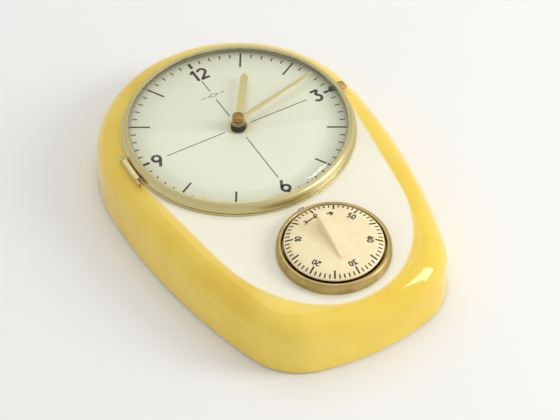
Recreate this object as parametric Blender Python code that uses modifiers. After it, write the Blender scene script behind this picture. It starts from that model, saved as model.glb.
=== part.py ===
"""Glazed ceramic wall clock with a sixty-minute kitchen timer, lying on its back.

+X points to three o'clock, +Y to twelve o'clock and +Z out of the front. The origin is the centre of
the case's back rim. Two mechanisms hang in the hollow case: a spring-driven clock movement behind the
dial, and a knob-wound timer below it. Each moving piece has its origin on the axis it turns about.
"""

import math

import bmesh
import bpy
from mathutils import Matrix, Vector

MM = 0.001
TOUCH = 0.3 * MM            # gap kept between pieces that rest on each other
RUNNING = 0.1 * MM          # radial play of a shaft in its hole
WIND_PLAY = 0.5 * MM        # radial play of a knob or key in the opening round it

# Ceramic case: an egg-shaped outline of four arcs on each side, from twelve o'clock down to six.
CASE_LENGTH = 260.0 * MM
TOP_RADIUS = 88.2 * MM
SIDE_RADIUS = 390.6 * MM
CORNER_RADIUS = 43.4 * MM
BOTTOM_RADIUS = 151.5 * MM
SIDE_START = math.radians(87.8)     # where the top arc gives way to the side arc
CASE_HEIGHT = 38.6 * MM
CASE_WALL = 7.0 * MM
CASE_DRAFT = 1.3 * MM               # how far the side wall leans in from rim to shoulder
SHOULDER_REACH = 17.0 * MM
SHOULDER_DROP = 16.2 * MM
RIM_ROUND = 1.2 * MM
BORE_STEPS = 12                     # sides of a small shaft or hole
ARBOR_STEPS = 8                     # sides of a wheel's arbor
ARC_STEPS = (9, 4, 5, 4)
SHOULDER_STEPS = 4

# Clock, measured from its own axis.
CLOCK_DROP = 4.5 * MM               # clock axis below the centre of the case's top arc
DIAL_RADIUS = 71.1 * MM
DIAL_THICKNESS = 0.5 * MM
DIAL_LIFT = 2.1 * MM                # dial face above the ceramic
PAN_FLANGE = 10.1 * MM              # from the pan's wall out to the dial's edge
PAN_DEPTH = 9.4 * MM                # from the ceramic's front down to the pan's floor
SHEET = 1.0 * MM
PAN_HOLE = 25.0 * MM
CLAMP_WIDTH = 5.0 * MM              # of the nut and the rubber ring that clamp the pan
CENTER_NUT_SLEEVE = 4.1 * MM
CENTER_NUT_HEIGHT = 4.0 * MM        # above the dial face
BASE_RING_WIDTH = 2.0 * MM
BEZEL_SETBACK = 0.6 * MM            # of the bezel's foot from the base ring's edge
BEZEL_LEAN = 1.5 * MM               # how far the bezel's side leans in from foot to lip
LIP_WIDTH = 3.2 * MM
BEZEL_HEIGHT = 6.0 * MM
BEZEL_WALL = 1.1 * MM
LIP_DROP = 1.4 * MM                 # how far the bezel's lip slopes down to its outer edge
RETAINER_WIDTH = 1.2 * MM
GLASS_RISE = 8.9 * MM
GLASS_THICKNESS = 1.3 * MM
GLASS_FULLNESS = 3.2                # 2 is an ellipse, and more is squarer
GLASS_STEPS = 7
HINGE_BARREL_RADIUS = 1.1 * MM
HINGE_PIN_RADIUS = 0.5 * MM
HINGE_LENGTH = 27.0 * MM
HINGE_END = 4.0 * MM                # length of the case leaf's two end knuckles
HINGE_LEAF = 0.5 * MM               # thickness of the case leaf
CATCH_WIDTH = 3.0 * MM
CATCH_REACH = 2.6 * MM
CATCH_HEIGHT = 1.3 * MM
TAB_LENGTH = 7.5 * MM
TAB_REACH = 3.9 * MM

# Hands: heights are above the dial face.
HOUR_HAND_LENGTH = 44.0 * MM
HOUR_HAND_HEIGHT = 4.7 * MM
HOUR_HAND_ANGLE = math.radians(34.3)
MINUTE_HAND_MARGIN = 4.8 * MM       # from the minute hand's tip to the bezel's opening
MINUTE_HAND_HEIGHT = 5.9 * MM
MINUTE_HAND_ANGLE = math.radians(76.5)
HAND_THICKNESS = 0.5 * MM
NUT_HEIGHT = 10.2 * MM
NUT_RADIUS = 3.5 * MM
NUT_ROUND = 0.5 * MM
ARBOR_RADIUS = 1.05 * MM
CANNON_RADIUS = 1.9 * MM
HOUR_PIPE_RADIUS = 2.8 * MM

# Clock movement, between two round plates.
PLATE_RADIUS = 45.0 * MM
PLATE_THICKNESS = 1.2 * MM
MOVEMENT_DEPTH = 14.6 * MM          # between the plates' inner faces
PILLAR_CIRCLE = 40.5 * MM
PILLAR_RADIUS = 2.5 * MM
PILLAR_ANGLES = (15, 135, 262)
PIVOT_RADIUS = 0.6 * MM
BARREL_RADIUS = 18.0 * MM
BARREL_HEIGHT = 8.0 * MM
WINDING_ARBOR_RADIUS = 2.0 * MM
BALANCE_RADIUS = 8.5 * MM

# Gears: teeth and centre distances. Each pitch radius follows from these.
MOTION_CENTRES = 12.5 * MM
CANNON_LEAVES, MINUTE_TEETH = 12, 36
MINUTE_LEAVES, HOUR_TEETH = 10, 40
BARREL_CENTRES = 23.1 * MM
BARREL_TEETH, CENTER_LEAVES = 48, 8
THIRD_CENTRES = 18.0 * MM
CENTER_TEETH, THIRD_LEAVES = 45, 6
FOURTH_CENTRES = 15.3 * MM
THIRD_TEETH, FOURTH_LEAVES = 48, 6
ESCAPE_CENTRES = 14.4 * MM
FOURTH_TEETH, ESCAPE_LEAVES = 48, 6
ESCAPE_TEETH, ESCAPE_RADIUS = 15, 6.5 * MM
RATCHET_TEETH, RATCHET_RADIUS = 24, 6.0 * MM
PALLET_CENTRES = 9.6 * MM
BALANCE_CENTRES = 12.5 * MM

# Timer, measured from its own axis.
TIMER_CENTRES = 115.4 * MM          # timer axis below the clock axis
TIMER_HOLE_RADIUS = 6.0 * MM
TIMER_RING_WIDTH = 3.4 * MM
KNOB_GAP = 1.3 * MM                 # between the knob's rim and the ring
TIMER_RING_HEIGHT = 6.6 * MM        # above the ceramic
KNOB_RADIUS = 29.3 * MM
KNOB_OVERHANG = 1.5 * MM            # of the knob's rim beyond its skirt
KNOB_RIM = 1.4 * MM
KNOB_THICKNESS = 4.3 * MM
KNOB_HEIGHT = 9.8 * MM              # the knob's flat top above the ceramic
SCALE_WIDTH = 6.0 * MM              # the sloping band round the flat top
SCALE_DROP = 1.9 * MM
GRIP_BACK, GRIP_TIP = 15.0 * MM, 16.0 * MM
GRIP_BACK_WIDTH, GRIP_TIP_WIDTH = 9.6 * MM, 5.5 * MM
GRIP_BACK_HEIGHT, GRIP_TIP_HEIGHT = 0.8 * MM, 8.3 * MM
GRIP_ROUND = 1.0 * MM
TIMER_SHAFT_RADIUS = 3.0 * MM
TIMER_BUSH_RADIUS = 5.0 * MM
TIMER_PLATE_RADIUS = 28.0 * MM
TIMER_DEPTH = 11.1 * MM
TIMER_PILLAR_CIRCLE = 25.0 * MM
TIMER_PILLAR_ANGLES = (100, 350, 275)
TIMER_SECOND_CENTRES = 17.0 * MM
TIMER_MAIN_TEETH, TIMER_SECOND_LEAVES = 60, 8
TIMER_ESCAPE_CENTRES = 11.2 * MM
TIMER_SECOND_TEETH, TIMER_ESCAPE_LEAVES = 48, 8
BELL_RADIUS = 15.0 * MM
BELL_WALL = 0.8 * MM
HAMMER_HEAD_RADIUS = 1.8 * MM
HAMMER_LIFT = 2.4 * MM              # the head's gap to the bell at rest

# Back cover and what works through it.
COVER_HEIGHT = 9.0 * MM             # cover's lower face above the wall
COVER_GAP = 0.7 * MM                # between the cover's edge and the ceramic
KEYHOLE_ABOVE_CLOCK = 66.0 * MM
KEYHOLE_RADIUS, KEYHOLE_SLOT, KEYHOLE_RISE = 5.0 * MM, 5.0 * MM, 10.0 * MM
KEY_SPAN, KEY_HEIGHT = 24.0 * MM, 5.0 * MM
SETTING_KNOB_RADIUS = 5.0 * MM
SETTING_KNOB_BOTTOM = 1.5 * MM      # above the wall
SETTING_COLLAR = 2.2 * MM
REGULATOR_LENGTH = 11.0 * MM
REGULATOR_FACING = 180              # degrees from +X
REGULATOR_WIDTH = 1.5 * MM
SCREW_RADIUS = 1.4 * MM
SCREW_HEAD_RADIUS = 3.0 * MM
SCREW_HEAD_HEIGHT = 1.4 * MM
SCREWED_PILLARS = PILLAR_ANGLES[1:]

# Places and levels that follow from the sizes above.
BASE_RING_RADIUS = DIAL_RADIUS + TOUCH + BASE_RING_WIDTH
BEZEL_OUTER = BASE_RING_RADIUS - BEZEL_SETBACK
BEZEL_TOP_OUTER = BEZEL_OUTER - BEZEL_LEAN
BEZEL_OPENING = BEZEL_TOP_OUTER - LIP_WIDTH
MINUTE_HAND_LENGTH = BEZEL_OPENING - MINUTE_HAND_MARGIN
TIMER_RING_OPENING = KNOB_RADIUS + KNOB_GAP
TIMER_RING_RADIUS = TIMER_RING_OPENING + TIMER_RING_WIDTH
PAN_RADIUS = DIAL_RADIUS - PAN_FLANGE
SCREW_HOLE = SCREW_RADIUS + 2 * RUNNING
CLAMP_RADIUS = PAN_RADIUS + CLAMP_WIDTH
CLOCK_Y = CASE_LENGTH / 2 - TOP_RADIUS - CLOCK_DROP
TIMER_Y = CLOCK_Y - TIMER_CENTRES
CLOCK = Vector((0.0, CLOCK_Y))
TIMER = Vector((0.0, TIMER_Y))
DIAL_TOP = CASE_HEIGHT + DIAL_LIFT
FLANGE_BOTTOM = CASE_HEIGHT + TOUCH
FLANGE_TOP = FLANGE_BOTTOM + SHEET
CEILING = CASE_HEIGHT - CASE_WALL + SHEET   # the front wall is a little thinner than the sides
PAN_FLOOR = CASE_HEIGHT - PAN_DEPTH
FRONT_PLATE_TOP = PAN_FLOOR - TOUCH
FRONT_PLATE_BOTTOM = FRONT_PLATE_TOP - PLATE_THICKNESS
REAR_PLATE_TOP = FRONT_PLATE_BOTTOM - MOVEMENT_DEPTH
REAR_PLATE_BOTTOM = REAR_PLATE_TOP - PLATE_THICKNESS
COVER_TOP = COVER_HEIGHT + SHEET
HINGE_X = -(BASE_RING_RADIUS + HINGE_BARREL_RADIUS + 2 * TOUCH)
HINGE_Z = FLANGE_BOTTOM + HINGE_LEAF + TOUCH + HINGE_BARREL_RADIUS
BEZEL_BOTTOM = FLANGE_TOP + TOUCH
BEZEL_TOP = BEZEL_BOTTOM + BEZEL_HEIGHT
LIP_EDGE = BEZEL_TOP - LIP_DROP
GLASS_SEAT = LIP_EDGE - BEZEL_WALL / 2 - TOUCH
GLASS_BOTTOM = GLASS_SEAT - GLASS_THICKNESS
RETAINED = BEZEL_TOP_OUTER - BEZEL_WALL - TOUCH     # radius of what is held inside the bezel
TIMER_PLATE_TOP = CEILING - TOUCH
TIMER_PLATE_BOTTOM = TIMER_PLATE_TOP - PLATE_THICKNESS
TIMER_REAR_TOP = TIMER_PLATE_BOTTOM - TIMER_DEPTH
TIMER_REAR_BOTTOM = TIMER_REAR_TOP - PLATE_THICKNESS
KNOB_TOP = CASE_HEIGHT + KNOB_HEIGHT


def polar(centre, distance, degrees):
    """The point at a distance and a direction (from +X, counter-clockwise) from a centre."""
    turn = math.radians(degrees)
    return centre + distance * Vector((math.cos(turn), math.sin(turn)))


MINUTE_WHEEL_AT = polar(CLOCK, MOTION_CENTRES, -60)
BARREL_AT = polar(CLOCK, BARREL_CENTRES, 225)
THIRD_AT = polar(CLOCK, THIRD_CENTRES, 45)
FOURTH_AT = polar(THIRD_AT, FOURTH_CENTRES, 135)
ESCAPE_AT = polar(FOURTH_AT, ESCAPE_CENTRES, 170)
PALLET_AT = polar(ESCAPE_AT, PALLET_CENTRES, 215)
BALANCE_AT = polar(PALLET_AT, BALANCE_CENTRES, 215)
CLICK_AT = polar(BARREL_AT, RATCHET_RADIUS + 5.0 * MM, 300)
TIMER_SECOND_AT = polar(TIMER, TIMER_SECOND_CENTRES, 200)
TIMER_ESCAPE_AT = polar(TIMER_SECOND_AT, TIMER_ESCAPE_CENTRES, 290)
HAMMER_AT = polar(TIMER, BELL_RADIUS + 8.0 * MM, 20)

FINISHES = {                # linear colour, roughness, metallic
    "yellow_glaze": ((0.93, 0.68, 0.12), 0.12, 0.0),
    "brass": ((0.63, 0.50, 0.24), 0.3, 1.0),
    "dark_brass": ((0.36, 0.25, 0.08), 0.35, 1.0),
    "plate_brass": ((0.70, 0.52, 0.22), 0.4, 1.0),
    "steel": ((0.45, 0.45, 0.46), 0.35, 1.0),
    "blued_steel": ((0.03, 0.04, 0.08), 0.3, 1.0),
    "painted_steel": ((0.30, 0.31, 0.30), 0.5, 0.0),
    "black_steel": ((0.02, 0.02, 0.02), 0.5, 1.0),
    "cream_dial": ((0.80, 0.82, 0.66), 0.5, 0.0),
    "cream_plastic": ((0.98, 0.86, 0.50), 0.3, 0.0),
    "glass": ((0.9, 0.95, 0.93), 0.05, 0.0),
    "rubber": ((0.04, 0.04, 0.04), 0.8, 0.0),
}


def collection(name):
    """A new collection in the scene."""
    made = bpy.data.collections.new(name)
    bpy.context.scene.collection.children.link(made)
    return made


def finish(name):
    """The material with this name from FINISHES, made the first time it is asked for."""
    if name in bpy.data.materials:
        return bpy.data.materials[name]
    colour, roughness, metallic = FINISHES[name]
    made = bpy.data.materials.new(name)
    made.use_nodes = True
    shader = made.node_tree.nodes["Principled BSDF"]
    shader.inputs["Base Color"].default_value = (*colour, 1.0)
    shader.inputs["Roughness"].default_value = roughness
    shader.inputs["Metallic"].default_value = metallic
    made.diffuse_color = (*colour, 1.0)
    return made


def place(name, data, at, look):
    """A new object of the part at a point in plan, with its finish."""
    made = bpy.data.objects.new(name, data)
    made.location = (at[0], at[1], 0.0)
    PARTS.objects.link(made)
    if not data.materials:
        data.materials.append(finish(look))
    return made


def turned(name, profile, at, look, steps=48, ring=False):
    """A turned piece: (radius, height) points down its outer side. A ring's profile closes on itself."""
    data = bpy.data.meshes.new(name)
    points = [(radius, 0.0, height) for radius, height in profile]
    edges = [(i, i + 1) for i in range(len(points) - 1)]
    if ring:
        edges.append((len(points) - 1, 0))
    data.from_pydata(points, edges, [])
    made = place(name, data, at, look)
    screw = made.modifiers.new("turn", "SCREW")
    screw.steps = steps
    screw.render_steps = steps
    screw.use_smooth_shade = True
    screw.use_merge_vertices = True
    screw.merge_threshold = 0.01 * MM
    return made


def rod(radius, bottom, top):
    """The profile of a plain cylinder."""
    return [(0.0, top), (radius, top), (radius, bottom), (0.0, bottom)]


def tube(inner, outer, bottom, top):
    """The profile of a plain ring, for turned(..., ring=True)."""
    return [(inner, top), (outer, top), (outer, bottom), (inner, bottom)]


def flat(name, outlines, bottom, top, at, look):
    """A flat piece of even thickness: its outline, then any holes, in plan round its own origin."""
    curve = bpy.data.curves.new(name, "CURVE")
    curve.dimensions = "2D"
    curve.fill_mode = "BOTH"
    curve.extrude = (top - bottom) / 2
    for outline in outlines:
        spline = curve.splines.new("POLY")
        spline.points.add(len(outline) - 1)
        for point, (x, y) in zip(spline.points, outline):
            point.co = (x, y, 0.0, 1.0)
        spline.use_cyclic_u = True
    made = place(name, curve, at, look)
    made.location.z = (top + bottom) / 2
    return made


def as_mesh(piece):
    """A curve piece made a welded mesh, so that it can be cut or joined."""
    bpy.context.view_layer.update()
    graph = bpy.context.evaluated_depsgraph_get()
    data = bpy.data.meshes.new_from_object(piece.evaluated_get(graph))
    work = bmesh.new()
    work.from_mesh(data)
    bmesh.ops.remove_doubles(work, verts=work.verts, dist=0.001 * MM)
    bmesh.ops.recalc_face_normals(work, faces=work.faces)
    work.to_mesh(data)
    work.free()
    name = piece.name
    matrix = piece.matrix_world.copy()
    bpy.data.objects.remove(piece)
    made = bpy.data.objects.new(name, data)
    made.matrix_world = matrix
    PARTS.objects.link(made)
    return made


def box(name, low, high, at, look):
    """A box between two corners, round the piece's own origin in plan."""
    work = bmesh.new()
    bmesh.ops.create_cube(work, size=1.0)
    size = Vector(high) - Vector(low)
    middle = (Vector(high) + Vector(low)) / 2
    matrix = Matrix.Translation(middle) @ Matrix.Diagonal(size.to_4d())
    bmesh.ops.transform(work, verts=work.verts, matrix=matrix)
    data = bpy.data.meshes.new(name)
    work.to_mesh(data)
    work.free()
    return place(name, data, at, look)


def combine(piece, tool, operation):
    """Joins a tool to a piece or cuts it away, and keeps the tool as a hidden helper."""
    PARTS.objects.unlink(tool)
    CUTTERS.objects.link(tool)
    tool.hide_render = True
    tool.display_type = "WIRE"
    boolean = piece.modifiers.new(tool.name, "BOOLEAN")
    boolean.operation = operation
    boolean.solver = "EXACT"
    boolean.object = tool
    return piece


def circle(radius, steps=24, centre=(0.0, 0.0)):
    """A round outline."""
    turns = [2 * math.pi * i / steps for i in range(steps)]
    return [(centre[0] + radius * math.cos(t), centre[1] + radius * math.sin(t)) for t in turns]


def hole_at(point, axis, radius, steps=8):
    """A round hole over another axis, in a plate whose own origin is at the given axis."""
    return circle(radius, steps, (point[0] - axis[0], point[1] - axis[1]))


def slot(width, start, end, steps=6):
    """A round-ended slot between two points in plan."""
    start, end = Vector(start), Vector(end)
    along = math.atan2(end.y - start.y, end.x - start.x)
    points = []
    for centre, first in ((end, along - math.pi / 2), (start, along + math.pi / 2)):
        for i in range(steps + 1):
            turn = first + math.pi * i / steps
            points.append((centre.x + width / 2 * math.cos(turn), centre.y + width / 2 * math.sin(turn)))
    return points


def pitch_radius(centres, own, other):
    """The pitch radius of a gear with this many teeth at this distance from its mate."""
    return centres * own / (own + other)


def wheel_outline(teeth, radius, facing):
    """Pointed wheel teeth with V-shaped gaps. One tooth points in the facing direction."""
    module = 2 * radius / teeth
    step = 2 * math.pi / teeth
    points = []
    for i in range(teeth):
        middle = math.radians(facing) + i * step
        for distance, turn in ((radius - 1.5 * module, middle - step / 2), (radius + 0.9 * module, middle)):
            points.append((distance * math.cos(turn), distance * math.sin(turn)))
    return points


def pinion_outline(leaves, radius, facing):
    """Pinion leaves with radial sides. A gap between two leaves points in the facing direction."""
    module = 2 * radius / leaves
    half = math.pi / leaves
    points = []
    for i in range(leaves):
        middle = math.radians(facing) + half + 2 * half * i
        for distance, share in (
            (radius - 1.2 * module, -0.45),
            (radius + 0.7 * module, -0.12),
            (radius + 0.7 * module, 0.12),
            (radius - 1.2 * module, 0.45),
        ):
            turn = middle + share * half
            points.append((distance * math.cos(turn), distance * math.sin(turn)))
    return points


def saw_outline(teeth, radius, depth, lean):
    """Saw teeth for an escape wheel or a ratchet: lean is the share of a tooth that its tip leads by."""
    step = 2 * math.pi / teeth
    points = []
    for i in range(teeth):
        for distance, turn in ((radius - depth, i * step), (radius, (i + lean) * step)):
            points.append((distance * math.cos(turn), distance * math.sin(turn)))
    return points


def direction(start, end):
    """The direction from one point to another, in degrees from +X."""
    way = Vector(end) - Vector(start)
    return math.degrees(math.atan2(way.y, way.x))


def arbored(
    name, teeth_outline, level, thickness, profile, at, look, pinion=None, bore=None, steps=ARBOR_STEPS
):
    """A wheel fixed on its turned arbor, with a pinion (outline, bottom, top) where it has one."""
    holes = [circle(bore, BORE_STEPS)] if bore else []
    wheel = as_mesh(flat(name, [teeth_outline] + holes, level, level + thickness, at, look))
    if profile:
        combine(wheel, turned(name + "_arbor", profile, at, look, steps, ring=bool(bore)), "UNION")
    if pinion:
        outline, bottom, top = pinion
        leaves = flat(name + "_pinion", [outline] + holes, bottom, top, at, look)
        combine(wheel, as_mesh(leaves), "UNION")
    return wheel


def pivoted(radius, bottom, top):
    """An arbor's profile: a rod between two plates with a thinner pivot in each of them."""
    ends = PLATE_THICKNESS * 0.8
    return [
        (0.0, top + ends), (PIVOT_RADIUS, top + ends), (PIVOT_RADIUS, top - TOUCH), (radius, top - TOUCH),
        (radius, bottom + TOUCH), (PIVOT_RADIUS, bottom + TOUCH), (PIVOT_RADIUS, bottom - ends),
        (0.0, bottom - ends),
    ]


# ---------------------------------------------------------------- case

def case_arcs():
    """The four arcs of the case's right half: (centre, radius, start, end), turning from twelve o'clock."""
    def facing(turn):
        return Vector((math.sin(turn), math.cos(turn)))

    top = Vector((0.0, CASE_LENGTH / 2 - TOP_RADIUS))
    side = top + (TOP_RADIUS - SIDE_RADIUS) * facing(SIDE_START)
    bottom = Vector((0.0, BOTTOM_RADIUS - CASE_LENGTH / 2))
    # The corner arc touches the side arc and the bottom arc, so its centre lies on a circle round each.
    reach_side = SIDE_RADIUS - CORNER_RADIUS
    reach_bottom = BOTTOM_RADIUS - CORNER_RADIUS
    apart = bottom - side
    along = (reach_side ** 2 - reach_bottom ** 2 + apart.length_squared) / (2 * apart.length)
    across = math.sqrt(reach_side ** 2 - along ** 2)
    unit = apart.normalized()
    corner = side + along * unit + across * Vector((-unit.y, unit.x))
    if corner.y > bottom.y:
        corner = side + along * unit - across * Vector((-unit.y, unit.x))
    to_corner = corner - side
    to_bottom = corner - bottom
    side_end = math.atan2(to_corner.x, to_corner.y)
    corner_end = math.atan2(to_bottom.x, to_bottom.y)
    return (
        (top, TOP_RADIUS, 0.0, SIDE_START),
        (side, SIDE_RADIUS, SIDE_START, side_end),
        (corner, CORNER_RADIUS, side_end, corner_end),
        (bottom, BOTTOM_RADIUS, corner_end, math.pi),
    )


def case_outline(inset):
    """The case's outline, moved in by an inset, clockwise from twelve o'clock."""
    right = []
    for (centre, radius, start, end), steps in zip(case_arcs(), ARC_STEPS):
        for i in range(steps):
            turn = start + (end - start) * i / steps
            reach = radius - inset
            right.append((centre.x + reach * math.sin(turn), centre.y + reach * math.cos(turn)))
    foot = (0.0, inset - CASE_LENGTH / 2)
    left = [(-x, y) for x, y in reversed(right[1:])]
    return right + [foot] + left


def shoulder(inset, start, height, reach, drop, steps):
    """The sections of a rounded shoulder: (inset, height) from the wall's top over to the flat front."""
    sections = []
    for i in range(steps + 1):
        turn = math.pi / 2 * i / steps
        sections.append((inset + reach * (1 - math.cos(turn)), height - drop + drop * math.sin(turn)))
    return [start] + sections


def build_case():
    """The hollow ceramic case: an outer skin over the shoulder, the rim, and an inner skin."""
    outer = shoulder(
        CASE_DRAFT, (0.0, RIM_ROUND), CASE_HEIGHT, SHOULDER_REACH, SHOULDER_DROP, SHOULDER_STEPS
    )
    inner = shoulder(
        CASE_WALL + CASE_DRAFT, (CASE_WALL, 0.0), CEILING,
        SHOULDER_REACH - CASE_WALL / 2, SHOULDER_DROP - CASE_WALL / 2, SHOULDER_STEPS - 1,
    )
    sections = list(reversed(inner)) + [(RIM_ROUND, 0.0)] + outer
    work = bmesh.new()
    loops = []
    for inset, height in sections:
        loops.append([work.verts.new((x, y, height)) for x, y in case_outline(inset)])
    for near, far in zip(loops, loops[1:]):
        for i, vertex in enumerate(near):
            j = (i + 1) % len(near)
            work.faces.new((vertex, near[j], far[j], far[i]))
    work.faces.new(loops[0])
    work.faces.new(loops[-1])
    bmesh.ops.recalc_face_normals(work, faces=work.faces)
    data = bpy.data.meshes.new("ceramic_case")
    work.to_mesh(data)
    work.free()
    data.shade_smooth()
    case = place("ceramic_case", data, (0.0, 0.0), "yellow_glaze")
    below = CEILING - SHEET
    above = CASE_HEIGHT + SHEET
    for name, radius, at in (
        ("clock_opening", PAN_RADIUS + WIND_PLAY, CLOCK),
        ("timer_opening", TIMER_HOLE_RADIUS, TIMER),
    ):
        combine(case, turned(name, rod(radius, below, above), at, "yellow_glaze", 32), "DIFFERENCE")


def build_back():
    """The steel back cover in the case's hollow, its keyhole for the wall hook, and its two screws."""
    keyhole = Vector((0.0, CLOCK_Y + KEYHOLE_ABOVE_CLOCK))
    top_half = slot(KEYHOLE_SLOT, keyhole, keyhole + Vector((0.0, KEYHOLE_RISE)))[:7]
    half_angle = math.asin(KEYHOLE_SLOT / 2 / KEYHOLE_RADIUS)
    around = []
    for i in range(13):
        turn = math.pi / 2 + half_angle + (2 * math.pi - 2 * half_angle) * i / 12
        around.append(tuple(keyhole + KEYHOLE_RADIUS * Vector((math.cos(turn), math.sin(turn)))))
    regulator_tip = polar(BALANCE_AT, REGULATOR_LENGTH, REGULATOR_FACING)
    tip_swing = Vector((0.0, REGULATOR_LENGTH * math.sin(math.radians(20)) + 1.0 * MM))
    holes = [
        top_half + around,
        hole_at(BARREL_AT, (0, 0), WINDING_ARBOR_RADIUS + WIND_PLAY, 16),
        hole_at(CLOCK, (0, 0), SETTING_COLLAR + WIND_PLAY, 16),
        slot(3.0 * MM, regulator_tip - tip_swing, regulator_tip + tip_swing),
    ]
    for angle in SCREWED_PILLARS:
        holes.append(hole_at(polar(CLOCK, PILLAR_CIRCLE, angle), (0, 0), SCREW_HOLE))
    outline = case_outline(CASE_WALL + CASE_DRAFT + COVER_GAP)
    flat("back_cover", [outline] + holes, COVER_HEIGHT, COVER_TOP, (0, 0), "painted_steel")
    head = COVER_HEIGHT - TOUCH
    for number, angle in enumerate(SCREWED_PILLARS, 1):
        top = REAR_PLATE_TOP + 3.0 * MM
        profile = [
            (0.0, top), (SCREW_RADIUS, top), (SCREW_RADIUS, head), (SCREW_HEAD_RADIUS, head),
            (SCREW_HEAD_RADIUS - 0.4 * MM, head - SCREW_HEAD_HEIGHT), (0.0, head - SCREW_HEAD_HEIGHT),
        ]
        pillar = polar(CLOCK, PILLAR_CIRCLE, angle)
        turned(f"back_cover_screw_{number}", profile, pillar, "steel", BORE_STEPS)


# ---------------------------------------------------------------- dial and bezel

def build_dial():
    """The dial, the pan that carries it, and the ring nut and rubber ring that clamp the pan."""
    outer = DIAL_RADIUS
    pan = [
        (PAN_RADIUS - SHEET, FLANGE_TOP), (outer, FLANGE_TOP), (outer, FLANGE_BOTTOM),
        (PAN_RADIUS, FLANGE_BOTTOM), (PAN_RADIUS, PAN_FLOOR), (PAN_HOLE, PAN_FLOOR),
        (PAN_HOLE, PAN_FLOOR + SHEET), (PAN_RADIUS - SHEET, PAN_FLOOR + SHEET),
    ]
    turned("dial_pan", pan, CLOCK, "steel", 32, ring=True)
    holes = [circle(CENTER_NUT_SLEEVE + TOUCH, 24)]
    dial_bottom = DIAL_TOP - DIAL_THICKNESS
    flat("dial_plate", [circle(outer, 48)] + holes, dial_bottom, DIAL_TOP, CLOCK, "cream_dial")
    seal_top = CEILING - TOUCH
    seal = tube(PAN_RADIUS + TOUCH, CLAMP_RADIUS, seal_top - 1.2 * MM, seal_top)
    turned("rubber_seal_ring", seal, CLOCK, "rubber", 32, ring=True)
    nut_top = seal_top - 1.2 * MM - TOUCH
    nut = tube(PAN_RADIUS + TOUCH, CLAMP_RADIUS, PAN_FLOOR - SHEET, nut_top)
    turned("pan_ring_nut", nut, CLOCK, "steel", 32, ring=True)
    washer_bottom = DIAL_TOP + TOUCH
    washer_top = washer_bottom + DIAL_THICKNESS
    washer = tube(CENTER_NUT_SLEEVE + TOUCH, 6.2 * MM, washer_bottom, washer_top)
    turned("dial_center_washer", washer, CLOCK, "brass", 24, ring=True)
    bore = HOUR_PIPE_RADIUS + RUNNING * 3
    flange = CENTER_NUT_SLEEVE + 0.7 * MM
    nut_top = DIAL_TOP + CENTER_NUT_HEIGHT
    center_nut = [
        (bore, nut_top), (flange - 0.4 * MM, nut_top), (flange, nut_top - 0.5 * MM),
        (flange, washer_top + TOUCH), (CENTER_NUT_SLEEVE, washer_top + TOUCH),
        (CENTER_NUT_SLEEVE, FLANGE_BOTTOM), (bore, FLANGE_BOTTOM),
    ]
    turned("dial_center_nut", center_nut, CLOCK, "black_steel", 20, ring=True)
    outer = RETAINED - RETAINER_WIDTH - TOUCH
    low = (outer - CATCH_REACH, -CATCH_WIDTH / 2, DIAL_TOP + TOUCH)
    high = (outer, CATCH_WIDTH / 2, DIAL_TOP + TOUCH + CATCH_HEIGHT)
    box("catch_spring", low, high, CLOCK, "black_steel")


def build_bezel():
    """The fixed base ring, and the hinged bezel with its glass, retaining ring and lifting tab."""
    inner = DIAL_RADIUS + TOUCH
    base = [
        (inner, FLANGE_TOP), (BASE_RING_RADIUS - TOUCH, FLANGE_TOP), (BASE_RING_RADIUS, FLANGE_TOP - TOUCH),
        (BASE_RING_RADIUS, FLANGE_BOTTOM), (inner, FLANGE_BOTTOM),
    ]
    turned("bezel_base_ring", base, CLOCK, "brass", 40, ring=True)
    bezel = [
        (BEZEL_OPENING + 0.3 * MM, BEZEL_TOP), (BEZEL_TOP_OUTER - 0.5 * MM, LIP_EDGE + 0.3 * MM),
        (BEZEL_TOP_OUTER, LIP_EDGE - 0.2 * MM), (BEZEL_OUTER, BEZEL_BOTTOM),
        (BEZEL_OUTER - BEZEL_WALL, BEZEL_BOTTOM), (BEZEL_TOP_OUTER - BEZEL_WALL, GLASS_SEAT + TOUCH),
        (BEZEL_OPENING, GLASS_SEAT + TOUCH), (BEZEL_OPENING, BEZEL_TOP - 0.4 * MM),
    ]
    turned("bezel_ring", bezel, CLOCK, "brass", 40, ring=True)
    dome_radius = BEZEL_OPENING - 0.5 * MM
    upper = full_dome(dome_radius, GLASS_SEAT, GLASS_RISE, GLASS_STEPS)
    lower = full_dome(dome_radius - GLASS_THICKNESS / 2, GLASS_BOTTOM, GLASS_RISE, GLASS_STEPS)
    glass = upper + [(RETAINED, GLASS_SEAT), (RETAINED, GLASS_BOTTOM)] + list(reversed(lower))
    turned("clock_glass", glass, CLOCK, "glass", 28)
    ring_top = GLASS_BOTTOM - TOUCH
    ring = tube(RETAINED - RETAINER_WIDTH, RETAINED, ring_top - SHEET, ring_top)
    turned("glass_retaining_ring", ring, CLOCK, "dark_brass", 32, ring=True)
    tab_bottom = BEZEL_BOTTOM + TOUCH
    low = (BEZEL_OUTER + TOUCH, -TAB_LENGTH / 2, tab_bottom)
    high = (BEZEL_OUTER + TOUCH + TAB_REACH, TAB_LENGTH / 2, tab_bottom + SHEET)
    tab = box("bezel_catch_tab", low, high, CLOCK, "dark_brass")
    rounded = tab.modifiers.new("rounded edges", "BEVEL")
    rounded.width = 0.3 * MM
    rounded.segments = 2


def dome(radius, height, rise, steps):
    """Points of a spherical dome from its top out to its edge, as (radius, height)."""
    sphere = (radius ** 2 + rise ** 2) / (2 * rise)
    reach = math.asin(radius / sphere)
    points = []
    for i in range(steps + 1):
        turn = reach * i / steps
        points.append((sphere * math.sin(turn), height + rise - sphere * (1 - math.cos(turn))))
    return points


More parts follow.
